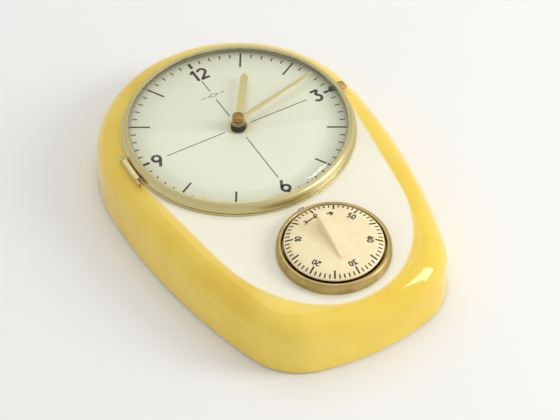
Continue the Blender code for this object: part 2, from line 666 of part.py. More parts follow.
def full_dome(radius, height, rise, steps):
    """Points of a dome that is flat on top and steep at its edge, so that it clears the hands."""
    points = []
    for i in range(steps + 1):
        turn = math.pi / 2 * i / steps
        across = math.sin(turn) ** (2 / GLASS_FULLNESS)
        up = max(math.cos(turn), 0.0) ** (2 / GLASS_FULLNESS)
        points.append((radius * across, height + rise * up))
    points[-1] = (radius, height)
    return points


def knuckle(name, start, end, look):
    """One rolled knuckle of the hinge, drilled for the pin, along Y between two places."""
    profile = tube(HINGE_PIN_RADIUS + RUNNING, HINGE_BARREL_RADIUS, start, end)
    made = turned(name, profile, CLOCK, look, 12, ring=True)
    made.location = (HINGE_X, CLOCK_Y, HINGE_Z)
    made.rotation_euler = (-math.pi / 2, 0.0, 0.0)
    return made


def build_hinge():
    """The hinge at nine o'clock: a leaf on the case, a leaf on the bezel, and the pin through both."""
    half = HINGE_LENGTH / 2
    middle = half - HINGE_END
    # Turned about X, a knuckle's own Z axis points along +Y.
    case_leaf = knuckle("hinge_leaf_case", middle + TOUCH, half, "brass")
    combine(case_leaf, knuckle("case_knuckle", -half, -middle - TOUCH, "brass"), "UNION")
    strip_top = FLANGE_BOTTOM + HINGE_LEAF
    edge = HINGE_BARREL_RADIUS * 0.6
    strip_low = (HINGE_X - edge, -half, FLANGE_BOTTOM)
    strip = box("case_leaf_strip", strip_low, (HINGE_X + edge, half, strip_top), CLOCK, "brass")
    foot = strip_top - HINGE_LEAF / 2
    head = HINGE_Z - (HINGE_PIN_RADIUS + HINGE_BARREL_RADIUS) / 2
    for number, start, end in ((1, -half, -middle - TOUCH), (2, middle + TOUCH, half)):
        low = (HINGE_X - edge / 2, start, foot)
        post = box(f"case_leaf_post_{number}", low, (HINGE_X + edge / 2, end, head), CLOCK, "brass")
        combine(case_leaf, post, "UNION")
    combine(case_leaf, strip, "UNION")
    bezel_leaf = knuckle("hinge_leaf_bezel", -middle, middle, "brass")
    arm_bottom = HINGE_Z + (HINGE_PIN_RADIUS + HINGE_BARREL_RADIUS) / 2
    arm_low = (HINGE_X - HINGE_BARREL_RADIUS / 3, -middle + TOUCH, arm_bottom)
    arm_high = (-BEZEL_OUTER - TOUCH, middle - TOUCH, arm_bottom + HINGE_LEAF)
    combine(bezel_leaf, box("bezel_leaf_arm", arm_low, arm_high, CLOCK, "brass"), "UNION")
    pin = turned("hinge_pin", rod(HINGE_PIN_RADIUS, -half, half), CLOCK, "steel", BORE_STEPS)
    pin.location = (HINGE_X, CLOCK_Y, HINGE_Z)
    pin.rotation_euler = (-math.pi / 2, 0.0, 0.0)


# ---------------------------------------------------------------- hands and motion work

def hand_outline(length, boss, base_width, wide, tip_width, tip_length):
    """A hand pointing along +Y: a round boss, a tapering blade and a pointed tip."""
    start = math.asin(base_width / 2 / boss)
    points = []
    for i in range(15):
        turn = math.pi / 2 + start + (2 * math.pi - 2 * start) * i / 14
        points.append((boss * math.cos(turn), boss * math.sin(turn)))
    shoulder_y = length - tip_length
    for half, reach in ((wide / 2, shoulder_y), (tip_width / 2, length)):
        points.append((half, reach))
    for half, reach in ((tip_width / 2, length), (wide / 2, shoulder_y)):
        points.append((-half, reach))
    return points


def build_hands():
    """The two gold hands and the nut that holds them."""
    hour_bottom = DIAL_TOP + HOUR_HAND_HEIGHT
    minute_bottom = DIAL_TOP + MINUTE_HAND_HEIGHT
    hour = flat(
        "hour_hand",
        [hand_outline(HOUR_HAND_LENGTH, 4.6 * MM, 3.7 * MM, 4.6 * MM, 1.2 * MM, 3.0 * MM),
         circle(HOUR_PIPE_RADIUS + RUNNING, BORE_STEPS)],
        hour_bottom, hour_bottom + HAND_THICKNESS, CLOCK, "brass",
    )
    hour.rotation_euler.z = -HOUR_HAND_ANGLE
    minute = flat(
        "minute_hand",
        [hand_outline(MINUTE_HAND_LENGTH, 4.2 * MM, 2.9 * MM, 1.9 * MM, 0.8 * MM, 2.5 * MM),
         circle(CANNON_RADIUS + RUNNING, BORE_STEPS)],
        minute_bottom, minute_bottom + HAND_THICKNESS, CLOCK, "brass",
    )
    minute.rotation_euler.z = -MINUTE_HAND_ANGLE
    nut_bottom = minute_bottom + HAND_THICKNESS + TOUCH
    top = DIAL_TOP + NUT_HEIGHT
    thread = ARBOR_RADIUS + RUNNING
    nut = [
        (0.0, top), (NUT_RADIUS - NUT_ROUND, top), (NUT_RADIUS, top - NUT_ROUND), (NUT_RADIUS, nut_bottom),
        (thread, nut_bottom), (thread, top - 0.8 * MM), (0.0, top - 0.8 * MM),
    ]
    turned("hand_nut", nut, CLOCK, "dark_brass", 24)


def build_motion_work():
    """The cannon pinion on its long arbor, the minute wheel and the hour wheel with its pipe."""
    leaves_bottom = FRONT_PLATE_TOP + 2 * TOUCH
    leaves_top = leaves_bottom + 2.4 * MM
    cannon_top = DIAL_TOP + MINUTE_HAND_HEIGHT + HAND_THICKNESS
    facing = direction(CLOCK, MINUTE_WHEEL_AT)
    cannon_pitch = pitch_radius(MOTION_CENTRES, CANNON_LEAVES, MINUTE_TEETH)
    outline = pinion_outline(CANNON_LEAVES, cannon_pitch, facing)
    cannon = as_mesh(flat("cannon_pinion", [outline], leaves_bottom, leaves_top, CLOCK, "steel"))
    arbor = [
        (0.0, DIAL_TOP + NUT_HEIGHT - 1.2 * MM), (ARBOR_RADIUS, DIAL_TOP + NUT_HEIGHT - 1.2 * MM),
        (ARBOR_RADIUS, cannon_top), (CANNON_RADIUS, cannon_top), (CANNON_RADIUS, leaves_bottom + 0.5 * MM),
        (ARBOR_RADIUS, leaves_bottom + 0.5 * MM), (ARBOR_RADIUS, SETTING_KNOB_BOTTOM + 2.0 * MM),
        (0.0, SETTING_KNOB_BOTTOM + 2.0 * MM),
    ]
    combine(cannon, turned("cannon_arbor", arbor, CLOCK, "steel", BORE_STEPS), "UNION")

    wheel_bottom = leaves_bottom + 0.9 * MM
    hour_bottom = leaves_top + 1.2 * MM
    minute_pinion = pinion_outline(
        MINUTE_LEAVES, pitch_radius(MOTION_CENTRES, MINUTE_LEAVES, HOUR_TEETH), facing + 180
    )
    minute_teeth = wheel_outline(
        MINUTE_TEETH, pitch_radius(MOTION_CENTRES, MINUTE_TEETH, CANNON_LEAVES), facing + 180
    )
    stud = [
        (0.0, hour_bottom + 2.4 * MM), (ARBOR_RADIUS, hour_bottom + 2.4 * MM),
        (ARBOR_RADIUS, FRONT_PLATE_TOP + TOUCH), (PIVOT_RADIUS, FRONT_PLATE_TOP + TOUCH),
        (PIVOT_RADIUS, FRONT_PLATE_BOTTOM + TOUCH), (0.0, FRONT_PLATE_BOTTOM + TOUCH),
    ]
    arbored(
        "minute_wheel", minute_teeth, wheel_bottom, 0.8 * MM, stud, MINUTE_WHEEL_AT, "plate_brass",
        (minute_pinion, wheel_bottom + 0.4 * MM, hour_bottom + 1.8 * MM),
    )
    hour_teeth = wheel_outline(HOUR_TEETH, pitch_radius(MOTION_CENTRES, HOUR_TEETH, MINUTE_LEAVES), facing)
    bore = CANNON_RADIUS + RUNNING
    pipe_top = DIAL_TOP + HOUR_HAND_HEIGHT + HAND_THICKNESS
    pipe = tube(bore, HOUR_PIPE_RADIUS, hour_bottom - 0.4 * MM, pipe_top)
    arbored(
        "hour_wheel", hour_teeth, hour_bottom, 0.8 * MM, pipe, CLOCK, "plate_brass",
        bore=(bore + HOUR_PIPE_RADIUS) / 2, steps=BORE_STEPS,
    )


# ---------------------------------------------------------------- clock movement

def build_frame():
    """The two brass plates and the three pillars that hold them apart."""
    pivots = [THIRD_AT, FOURTH_AT, ESCAPE_AT, PALLET_AT, BALANCE_AT]
    pivot_hole = PIVOT_RADIUS + RUNNING
    front = [circle(PLATE_RADIUS, 36), circle(CANNON_RADIUS + RUNNING * 4, BORE_STEPS)]
    rear = [circle(PLATE_RADIUS, 36), circle(ARBOR_RADIUS + RUNNING * 2, BORE_STEPS)]
    for point in pivots:
        front.append(hole_at(point, CLOCK, pivot_hole))
        rear.append(hole_at(point, CLOCK, pivot_hole))
    front.append(hole_at(MINUTE_WHEEL_AT, CLOCK, pivot_hole))
    front.append(hole_at(BARREL_AT, CLOCK, WINDING_ARBOR_RADIUS + RUNNING, BORE_STEPS))
    rear.append(hole_at(BARREL_AT, CLOCK, WINDING_ARBOR_RADIUS + RUNNING, BORE_STEPS))
    rear.append(hole_at(CLICK_AT, CLOCK, pivot_hole))
    for angle in SCREWED_PILLARS:
        rear.append(hole_at(polar(CLOCK, PILLAR_CIRCLE, angle), CLOCK, SCREW_HOLE))
    flat("movement_front_plate", front, FRONT_PLATE_BOTTOM, FRONT_PLATE_TOP, CLOCK, "plate_brass")
    flat("movement_rear_plate", rear, REAR_PLATE_BOTTOM, REAR_PLATE_TOP, CLOCK, "plate_brass")
    bottom, top = REAR_PLATE_TOP + TOUCH, FRONT_PLATE_BOTTOM - TOUCH
    drilled = bottom + 4.5 * MM
    profile = [
        (0.0, top), (PILLAR_RADIUS, top), (PILLAR_RADIUS, bottom), (SCREW_HOLE, bottom),
        (SCREW_HOLE, drilled), (0.0, drilled),
    ]
    for number, angle in enumerate(PILLAR_ANGLES, 1):
        at = polar(CLOCK, PILLAR_CIRCLE, angle)
        turned(f"movement_pillar_{number}", profile, at, "steel", BORE_STEPS)


def build_barrel():
    """The mainspring barrel with its teeth, the coiled mainspring, and the winding arbor and key."""
    bottom = REAR_PLATE_TOP + 1.3 * MM
    teeth = wheel_outline(
        BARREL_TEETH, pitch_radius(BARREL_CENTRES, BARREL_TEETH, CENTER_LEAVES), direction(BARREL_AT, CLOCK)
    )
    bore = WINDING_ARBOR_RADIUS + RUNNING
    wall_foot = bottom + 0.7 * MM
    wall = tube(BARREL_RADIUS - SHEET, BARREL_RADIUS, wall_foot, bottom + BARREL_HEIGHT)
    arbored(
        "mainspring_barrel", teeth, bottom, 1.4 * MM, wall, BARREL_AT, "plate_brass", bore=bore, steps=24
    )
    strip = spiral(WINDING_ARBOR_RADIUS + 1.2 * MM, BARREL_RADIUS - SHEET - 0.8 * MM, 4, 14, 0.6 * MM)
    spring_bottom = bottom + 1.4 * MM + TOUCH
    flat("mainspring", [strip], spring_bottom, bottom + BARREL_HEIGHT - TOUCH, BARREL_AT, "blued_steel")
    key_bottom = 1.5 * MM
    arbor = rod(WINDING_ARBOR_RADIUS, key_bottom + 1.0 * MM, FRONT_PLATE_TOP - TOUCH)
    turned("winding_arbor", arbor, BARREL_AT, "steel", BORE_STEPS)
    hub = tube(WINDING_ARBOR_RADIUS + RUNNING, 3.6 * MM, key_bottom, COVER_HEIGHT - 2 * TOUCH)
    key = turned("winding_key", hub, BARREL_AT, "steel", BORE_STEPS, ring=True)
    for side, name in ((1, "key_wing_1"), (-1, "key_wing_2")):
        ends = sorted((side * (WINDING_ARBOR_RADIUS + 0.8 * MM), side * KEY_SPAN / 2))
        low = (ends[0], -0.8 * MM, key_bottom + 0.3 * MM)
        high = (ends[1], 0.8 * MM, key_bottom + 0.3 * MM + KEY_HEIGHT)
        combine(key, box(name, low, high, BARREL_AT, "steel"), "UNION")


def build_winding_stop():
    """The ratchet wheel on the winding arbor and the click that holds it, behind the rear plate."""
    bottom, top = COVER_TOP + TOUCH, REAR_PLATE_BOTTOM - TOUCH
    teeth = saw_outline(RATCHET_TEETH, RATCHET_RADIUS, 1.0 * MM, 0.9)
    bore = circle(WINDING_ARBOR_RADIUS + RUNNING, BORE_STEPS)
    flat("ratchet_wheel", [teeth, bore], bottom, top, BARREL_AT, "steel")
    reach = (CLICK_AT - BARREL_AT).length - RATCHET_RADIUS
    # The click lies beside the ratchet: a round pivot end and a beak that rests just off the teeth.
    toward = math.radians(direction(CLICK_AT, BARREL_AT))
    beak = reach - 2 * TOUCH
    lever = []
    for distance, degrees in ((2.2, 70), (2.2, 120), (2.2, 180), (2.2, 240), (2.2, 290)):
        lever.append((distance * MM, toward + math.radians(degrees)))
    lever += [(beak, toward - math.radians(8)), (beak, toward + math.radians(8))]
    outline = [(distance * math.cos(turn), distance * math.sin(turn)) for distance, turn in lever]
    click = as_mesh(flat("click", [outline], bottom, top, CLICK_AT, "steel"))
    pivot = rod(PIVOT_RADIUS, bottom + 0.3 * MM, REAR_PLATE_TOP - TOUCH)
    combine(click, turned("click_pivot", pivot, CLICK_AT, "steel", 12), "UNION")


def spiral(start, end, turns, steps, width):
    """The outline of a flat strip wound from an inner radius out to an outer one."""
    count = turns * steps
    sides = ([], [])
    for i in range(count + 1):
        turn = 2 * math.pi * i / steps
        radius = start + (end - start) * i / count
        for side, shift in zip(sides, (-width / 2, width / 2)):
            side.append(((radius + shift) * math.cos(turn), (radius + shift) * math.sin(turn)))
    return sides[1] + list(reversed(sides[0]))


def build_going_train():
    """Centre, third, fourth and escape wheels, each on its arbor and driving the next pinion."""
    low, high = REAR_PLATE_TOP, FRONT_PLATE_BOTTOM
    sleeve_bore = ARBOR_RADIUS + RUNNING
    center_level = high - 2.5 * MM
    third_level = low + 5.8 * MM
    fourth_level = low + 9.3 * MM
    escape_level = low + 1.8 * MM
    sleeve = 1.6 * MM
    center_pitch = pitch_radius(THIRD_CENTRES, CENTER_TEETH, THIRD_LEAVES)
    center_pinion = pinion_outline(
        CENTER_LEAVES, pitch_radius(BARREL_CENTRES, CENTER_LEAVES, BARREL_TEETH), direction(CLOCK, BARREL_AT)
    )
    arbored(
        "center_wheel", wheel_outline(CENTER_TEETH, center_pitch, direction(CLOCK, THIRD_AT)),
        center_level, 0.8 * MM, tube(sleeve_bore, sleeve, low + TOUCH, high - TOUCH), CLOCK, "plate_brass",
        (center_pinion, low + 0.8 * MM, low + 3.2 * MM), bore=(sleeve_bore + sleeve) / 2, steps=BORE_STEPS,
    )
    train = (
        ("third_wheel", THIRD_AT, THIRD_TEETH, FOURTH_CENTRES, FOURTH_LEAVES, FOURTH_AT, third_level,
         THIRD_LEAVES, THIRD_CENTRES, CENTER_TEETH, CLOCK, center_level),
        ("fourth_wheel", FOURTH_AT, FOURTH_TEETH, ESCAPE_CENTRES, ESCAPE_LEAVES, ESCAPE_AT, fourth_level,
         FOURTH_LEAVES, FOURTH_CENTRES, THIRD_TEETH, THIRD_AT, third_level),
    )
    for wheel in train:
        name, at, teeth, centres, mate, mate_at, level = wheel[:7]
        leaves, own_centres, driver, driver_at, driver_level = wheel[7:]
        outline = wheel_outline(teeth, pitch_radius(centres, teeth, mate), direction(at, mate_at))
        pinion = pinion_outline(leaves, pitch_radius(own_centres, leaves, driver), direction(at, driver_at))
        arbored(
            name, outline, level, 0.7 * MM, pivoted(1.0 * MM, low, high), at, "plate_brass",
            (pinion, driver_level - 0.7 * MM, driver_level + 1.5 * MM),
        )
    escape_pitch = pitch_radius(ESCAPE_CENTRES, ESCAPE_LEAVES, FOURTH_TEETH)
    pinion = pinion_outline(ESCAPE_LEAVES, escape_pitch, direction(ESCAPE_AT, FOURTH_AT))
    arbored(
        "escape_wheel", saw_outline(ESCAPE_TEETH, ESCAPE_RADIUS, 2.0 * MM, 0.6), escape_level, 0.7 * MM,
        pivoted(1.0 * MM, low, high), ESCAPE_AT, "plate_brass",
        (pinion, fourth_level - 0.7 * MM, fourth_level + 1.5 * MM),
    )


def build_escapement():
    """The pallet lever, the balance wheel with its hairspring, and the regulator lever."""
    low, high = REAR_PLATE_TOP, FRONT_PLATE_BOTTOM
    level = low + 1.8 * MM
    lift = PALLET_CENTRES - ESCAPE_RADIUS
    # Drawn with the escape wheel to the right (+X) and the balance to the left.
    arm = lift - 2 * TOUCH
    fork = BALANCE_CENTRES - 3.2 * MM
    upper = [
        (arm - 1.2 * MM, 1.2 * MM), (arm - 0.6 * MM, 5.4 * MM), (arm + 0.6 * MM, 5.6 * MM),
        (arm - 2.6 * MM, 6.8 * MM), (-1.2 * MM, 1.3 * MM), (-fork + 1.6 * MM, 0.7 * MM),
        (-fork, 1.9 * MM), (-fork, 1.1 * MM),
    ]
    lower = [(x, -y) for x, y in reversed(upper)]
    outline = upper + [(-fork + 1.4 * MM, 0.0)] + lower
    lever = as_mesh(flat("pallet_lever", [outline], level, level + 0.8 * MM, PALLET_AT, "steel"))
    staff = turned("pallet_arbor", pivoted(0.9 * MM, low, high), PALLET_AT, "steel", ARBOR_STEPS)
    combine(lever, staff, "UNION")
    lever.rotation_euler.z = math.radians(direction(BALANCE_AT, PALLET_AT))

    wheel_level = low + 5.2 * MM
    inside = BALANCE_RADIUS - 1.3 * MM
    hub = 1.8 * MM
    spokes = []
    for first in (8, 188):
        arc = [math.radians(first + 164 * i / 8) for i in range(9)]
        opening = [(inside * math.cos(turn), inside * math.sin(turn)) for turn in arc]
        spokes.append(opening + [(hub * math.cos(turn), hub * math.sin(turn)) for turn in reversed(arc)])
    rim = [circle(BALANCE_RADIUS, 32)] + spokes
    wheel_top = wheel_level + 1.0 * MM
    balance = as_mesh(flat("balance_wheel", rim, wheel_level, wheel_top, BALANCE_AT, "plate_brass"))
    staff = turned("balance_staff", pivoted(0.9 * MM, low, high), BALANCE_AT, "steel", ARBOR_STEPS)
    combine(balance, staff, "UNION")
    coil = spiral(1.6 * MM, 5.6 * MM, 3, 12, 0.25 * MM)
    flat("hairspring", [coil], wheel_level + 2.6 * MM, wheel_level + 3.4 * MM, BALANCE_AT, "blued_steel")

    bottom, top = COVER_TOP + TOUCH, REAR_PLATE_BOTTOM - TOUCH
    facing = math.radians(REGULATOR_FACING)
    collar = 3.0 * MM
    half_arm = math.asin(REGULATOR_WIDTH / 2 / collar)
    lever_points = []
    for i in range(15):
        turn = facing + half_arm + (2 * math.pi - 2 * half_arm) * i / 14
        lever_points.append((collar * math.cos(turn), collar * math.sin(turn)))
    along = Vector((math.cos(facing), math.sin(facing)))
    across = Vector((-along.y, along.x))
    for side in (-1, 1):
        lever_points.append(tuple(along * REGULATOR_LENGTH + across * side * REGULATOR_WIDTH / 2))
    hole = circle(PIVOT_RADIUS + RUNNING * 3, 10)
    flat("regulator_lever", [lever_points, hole], bottom, top, BALANCE_AT, "steel")


def build_setting_knob():
    """The knob behind the back cover that sets the hands, on the end of the cannon arbor."""
    bore = ARBOR_RADIUS + RUNNING
    top = COVER_TOP + TOUCH
    profile = [
        (bore, top), (SETTING_COLLAR, top), (SETTING_COLLAR, COVER_HEIGHT - TOUCH * 2),
        (SETTING_KNOB_RADIUS, COVER_HEIGHT - TOUCH * 2), (SETTING_KNOB_RADIUS, SETTING_KNOB_BOTTOM),
        (bore, SETTING_KNOB_BOTTOM),
    ]
    turned("setting_knob", profile, CLOCK, "plate_brass", 16, ring=True)


# ---------------------------------------------------------------- timer

def build_timer_front():
    """The brass ring round the knob, and the knob itself with its tapered grip."""
    rise = CASE_HEIGHT + TIMER_RING_HEIGHT
    width = TIMER_RING_RADIUS - TIMER_RING_OPENING
    ring = [
        (TIMER_RING_OPENING, rise), (TIMER_RING_OPENING + 0.5 * MM, rise),
        (TIMER_RING_RADIUS - 0.45 * width, rise - 0.6 * MM),
        (TIMER_RING_RADIUS - 0.15 * width, rise - 2.2 * MM),
        (TIMER_RING_RADIUS, FLANGE_BOTTOM), (TIMER_HOLE_RADIUS, FLANGE_BOTTOM),
        (TIMER_HOLE_RADIUS, FLANGE_TOP), (TIMER_RING_OPENING, FLANGE_TOP),
    ]
    turned("timer_ring", ring, TIMER, "brass", 40, ring=True)
    under = KNOB_TOP - KNOB_THICKNESS
    edge = KNOB_TOP - SCALE_DROP
    bore = TIMER_SHAFT_RADIUS + RUNNING
    hub = TIMER_BUSH_RADIUS + 2.5 * MM
    knob = [
        (0.0, KNOB_TOP), (KNOB_RADIUS - SCALE_WIDTH, KNOB_TOP), (KNOB_RADIUS - 0.4 * MM, edge),
        (KNOB_RADIUS, edge - 0.4 * MM), (KNOB_RADIUS, edge - KNOB_RIM), (KNOB_RADIUS - KNOB_OVERHANG, edge - KNOB_RIM),
        (KNOB_RADIUS - KNOB_OVERHANG, under), (hub, under), (hub, under - 1.0 * MM), (bore, under - 1.0 * MM),
        (bore, under + 1.2 * MM), (0.0, under + 1.2 * MM),
    ]
    disc = turned("timer_knob", knob, TIMER, "cream_plastic", 36)
    foot = KNOB_TOP - KNOB_THICKNESS / 2
    crest = KNOB_TOP + GRIP_TIP_HEIGHT
    grip = box("knob_grip", (-0.5, -GRIP_BACK, foot), (0.5, GRIP_TIP, crest), TIMER, "cream_plastic")
    for vertex in grip.data.vertices:
        at_tip = vertex.co.y > 0
        breadth = GRIP_TIP_WIDTH if at_tip else GRIP_BACK_WIDTH
        vertex.co.x = math.copysign(breadth / 2, vertex.co.x)
        if vertex.co.z > KNOB_TOP and not at_tip:
            vertex.co.z = KNOB_TOP + GRIP_BACK_HEIGHT
    rounded = grip.modifiers.new("rounded edges", "BEVEL")
    rounded.width = GRIP_ROUND
    rounded.segments = 2
    combine(disc, grip, "UNION")


def build_timer_frame():
    """The timer's plates, with the threaded bush through the case, its nut and its pillars."""
    bush_top = FLANGE_TOP + TOUCH + 2.2 * MM
    shaft_hole = circle(TIMER_SHAFT_RADIUS + RUNNING, 20)
    pivot = PIVOT_RADIUS + RUNNING
    wheels = [TIMER_SECOND_AT, TIMER_ESCAPE_AT]
    front_holes = [circle((TIMER_SHAFT_RADIUS + TIMER_BUSH_RADIUS) / 2, 20)]
    rear_holes = [shaft_hole, hole_at(HAMMER_AT, TIMER, pivot)]
    for point in wheels:
        front_holes.append(hole_at(point, TIMER, pivot))
        rear_holes.append(hole_at(point, TIMER, pivot))
    rim = circle(TIMER_PLATE_RADIUS, 36)
    bottom, top = TIMER_PLATE_BOTTOM, TIMER_PLATE_TOP
    front = as_mesh(flat("timer_front_plate", [rim] + front_holes, bottom, top, TIMER, "plate_brass"))
    bush = tube(TIMER_SHAFT_RADIUS + RUNNING, TIMER_BUSH_RADIUS, TIMER_PLATE_BOTTOM + 0.3 * MM, bush_top)
    combine(front, turned("timer_bush", bush, TIMER, "plate_brass", 20, ring=True), "UNION")
    flat("timer_rear_plate", [rim] + rear_holes, TIMER_REAR_BOTTOM, TIMER_REAR_TOP, TIMER, "plate_brass")
    nut_bottom = FLANGE_TOP + TOUCH
    nut = [circle(TIMER_BUSH_RADIUS + 2.2 * MM, 6), circle(TIMER_BUSH_RADIUS + RUNNING, 20)]
    flat("timer_fixing_nut", nut, nut_bottom, nut_bottom + 1.8 * MM, TIMER, "steel")
    for number, angle in enumerate(TIMER_PILLAR_ANGLES, 1):
        pillar = rod(1.8 * MM, TIMER_REAR_TOP + TOUCH, TIMER_PLATE_BOTTOM - TOUCH)
        turned(f"timer_pillar_{number}", pillar, polar(TIMER, TIMER_PILLAR_CIRCLE, angle), "steel", 12)


def build_timer_works():
    """The timer's shaft, spring, gears, bell and hammer."""
    low, high = TIMER_REAR_TOP, TIMER_PLATE_BOTTOM
    shaft_top = KNOB_TOP - KNOB_THICKNESS + 0.9 * MM
    turned("timer_shaft", rod(TIMER_SHAFT_RADIUS, TIMER_REAR_BOTTOM, shaft_top), TIMER, "steel", 20)
    main_level = high - 2.8 * MM
    second_level = low + 1.8 * MM
    main = wheel_outline(
        TIMER_MAIN_TEETH, pitch_radius(TIMER_SECOND_CENTRES, TIMER_MAIN_TEETH, TIMER_SECOND_LEAVES),
        direction(TIMER, TIMER_SECOND_AT),
    )
    bore = circle(TIMER_SHAFT_RADIUS + RUNNING, 20)
    flat("timer_main_wheel", [main, bore], main_level, main_level + 0.8 * MM, TIMER, "plate_brass")
    spring = spiral(TIMER_SHAFT_RADIUS + 1.2 * MM, 11.5 * MM, 3, 12, 0.6 * MM)
    flat("timer_mainspring", [spring], low + 3.2 * MM, low + 7.2 * MM, TIMER, "blued_steel")
    second = wheel_outline(
        TIMER_SECOND_TEETH, pitch_radius(TIMER_ESCAPE_CENTRES, TIMER_SECOND_TEETH, TIMER_ESCAPE_LEAVES),
        direction(TIMER_SECOND_AT, TIMER_ESCAPE_AT),
    )
    second_pinion = pinion_outline(
        TIMER_SECOND_LEAVES, pitch_radius(TIMER_SECOND_CENTRES, TIMER_SECOND_LEAVES, TIMER_MAIN_TEETH),
        direction(TIMER_SECOND_AT, TIMER),
    )
    arbored(
        "timer_second_wheel", second, second_level, 0.7 * MM, pivoted(0.9 * MM, low, high), TIMER_SECOND_AT,
        "plate_brass", (second_pinion, main_level - 0.8 * MM, main_level + 1.6 * MM),
    )
    escape_pinion = pinion_outline(
        TIMER_ESCAPE_LEAVES, pitch_radius(TIMER_ESCAPE_CENTRES, TIMER_ESCAPE_LEAVES, TIMER_SECOND_TEETH),
        direction(TIMER_ESCAPE_AT, TIMER_SECOND_AT),
    )
    arbored(
        "timer_escape_wheel", saw_outline(ESCAPE_TEETH, 5.0 * MM, 1.6 * MM, 0.6), low + 5.6 * MM, 0.7 * MM,
        pivoted(0.9 * MM, low, high), TIMER_ESCAPE_AT, "plate_brass",
        (escape_pinion, second_level - 0.6 * MM, second_level + 1.6 * MM),
    )
    bell_bottom = COVER_TOP + 0.8 * MM
    rise = TIMER_REAR_BOTTOM - bell_bottom - 1.0 * MM
    outer = dome(BELL_RADIUS, bell_bottom, rise, 4)
    inner = dome(BELL_RADIUS - BELL_WALL, bell_bottom, rise - BELL_WALL, 4)
    turned("timer_bell", outer + list(reversed(inner)), TIMER, "steel", 24)
    head_at = polar(TIMER, BELL_RADIUS + HAMMER_HEAD_RADIUS + HAMMER_LIFT, -12) - HAMMER_AT
    bottom = bell_bottom + 0.4 * MM
    arm = slot(1.6 * MM, (0, 0), head_at)
    hammer = as_mesh(flat("timer_hammer", [arm], bottom, bottom + 1.0 * MM, HAMMER_AT, "steel"))
    post = rod(PIVOT_RADIUS, bottom + 0.3 * MM, TIMER_REAR_TOP - TOUCH)
    combine(hammer, turned("hammer_post", post, HAMMER_AT, "steel", BORE_STEPS), "UNION")
    weight = rod(HAMMER_HEAD_RADIUS, bottom - 0.2 * MM, bottom + 2.4 * MM)
    head = turned("hammer_head", weight, HAMMER_AT + head_at, "steel", BORE_STEPS)
    combine(hammer, head, "UNION")


for old in list(bpy.data.objects):
    bpy.data.objects.remove(old)
PARTS = collection("ceramic_timer_clock")
CUTTERS = collection("cutters")
build_case()
build_back()
build_dial()
build_bezel()
build_hinge()
build_hands()
build_motion_work()
build_frame()
build_barrel()
build_winding_stop()
build_going_train()
build_escapement()
build_setting_knob()
build_timer_front()
build_timer_frame()
build_timer_works()
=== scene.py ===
"""Looks of a glazed earthenware kitchen clock with a sixty-minute timer.

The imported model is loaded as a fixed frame, in metres, with +Z out of the dial. Each operator makes one
group of pieces round that frame, and the sizes and colours that a user might change are properties.
"""

import math
from functools import partial

import bmesh
import bpy
from bpy.props import FloatProperty, FloatVectorProperty, PointerProperty
from bpy.types import Operator, Panel, PropertyGroup
from mathutils import Matrix, Vector


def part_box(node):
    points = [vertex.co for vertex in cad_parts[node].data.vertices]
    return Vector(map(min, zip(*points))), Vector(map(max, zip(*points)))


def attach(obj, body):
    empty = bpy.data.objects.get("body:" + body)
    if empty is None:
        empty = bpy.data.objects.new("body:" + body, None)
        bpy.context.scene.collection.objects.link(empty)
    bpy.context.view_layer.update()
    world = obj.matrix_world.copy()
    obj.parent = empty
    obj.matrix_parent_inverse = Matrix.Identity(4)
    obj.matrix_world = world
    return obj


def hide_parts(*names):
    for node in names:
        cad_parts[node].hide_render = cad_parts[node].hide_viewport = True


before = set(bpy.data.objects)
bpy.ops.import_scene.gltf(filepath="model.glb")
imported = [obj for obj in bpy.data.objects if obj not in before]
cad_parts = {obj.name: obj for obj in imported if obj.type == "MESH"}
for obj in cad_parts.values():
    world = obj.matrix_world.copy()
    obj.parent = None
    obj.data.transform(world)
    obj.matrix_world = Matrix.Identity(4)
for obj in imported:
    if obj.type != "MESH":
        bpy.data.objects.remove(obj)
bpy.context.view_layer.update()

bl_info = {
    "name": "Kitchen Clock Looks",
    "version": (1, 0, 0),
    "blender": (4, 5, 0),
    "location": "View3D > Sidebar > Kitchen Clock",
    "description": "Fine meshes and finishes for a glazed kitchen clock with a timer",
    "category": "Object",
}

MM = 0.001
SHARP = math.radians(32)            # an edge that folds more than this keeps its crease
GAP = 0.3 * MM                      # kept between pieces that rest on each other
SAME_PLACE = 0.001 * MM             # points closer than this are one point
TURNING_STEPS = 192                 # facets round a large turned piece
SMALL_STEPS = 72                    # facets round a small turned piece
ARC_STEPS = (64, 40, 40, 20)        # facets along the four arcs of the case's outline
OPENING_STEPS = (96, 32)            # facets round the openings for the clock and the timer
SHOULDER_STEPS, INSIDE_STEPS = 24, 10   # bands on the case's rounded shoulder, outside and inside
WALL_STEPS = 4                      # bands up the case's wall, and round its rim
INK_THICKNESS = 0.03 * MM


def middle(node):
    """The centre of a node's box in plan."""
    low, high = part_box(node)
    return ((low + high) / 2).to_2d()


def across(node):
    """Half of a node's width along X: a turned piece's outer radius."""
    low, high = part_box(node)
    return (high.x - low.x) / 2


def levels(node):
    """The heights of a node's underside and top."""
    low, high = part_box(node)
    return low.z, high.z


CLOCK = middle("dial_plate")
TIMER = middle("timer_ring")
DIAL_TOP = levels("dial_plate")[1]
CASE_TOP = levels("ceramic_case")[1]
CASE_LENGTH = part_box("ceramic_case")[1].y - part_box("ceramic_case")[0].y


def linear(code):
    """An sRGB hex colour as the linear colour that Blender's sockets hold."""
    channels = []
    for i in (0, 2, 4):
        value = int(code[i:i + 2], 16) / 255
        channels.append(value / 12.92 if value <= 0.04045 else ((value + 0.055) / 1.055) ** 2.4)
    return (*channels, 1.0)


def length(name, description, millimetres):
    """A length property."""
    return FloatProperty(
        name=name, description=description, default=millimetres * MM, unit="LENGTH", precision=5
    )


def number(name, description, value, **more):
    """A plain number property."""
    return FloatProperty(name=name, description=description, default=value, **more)


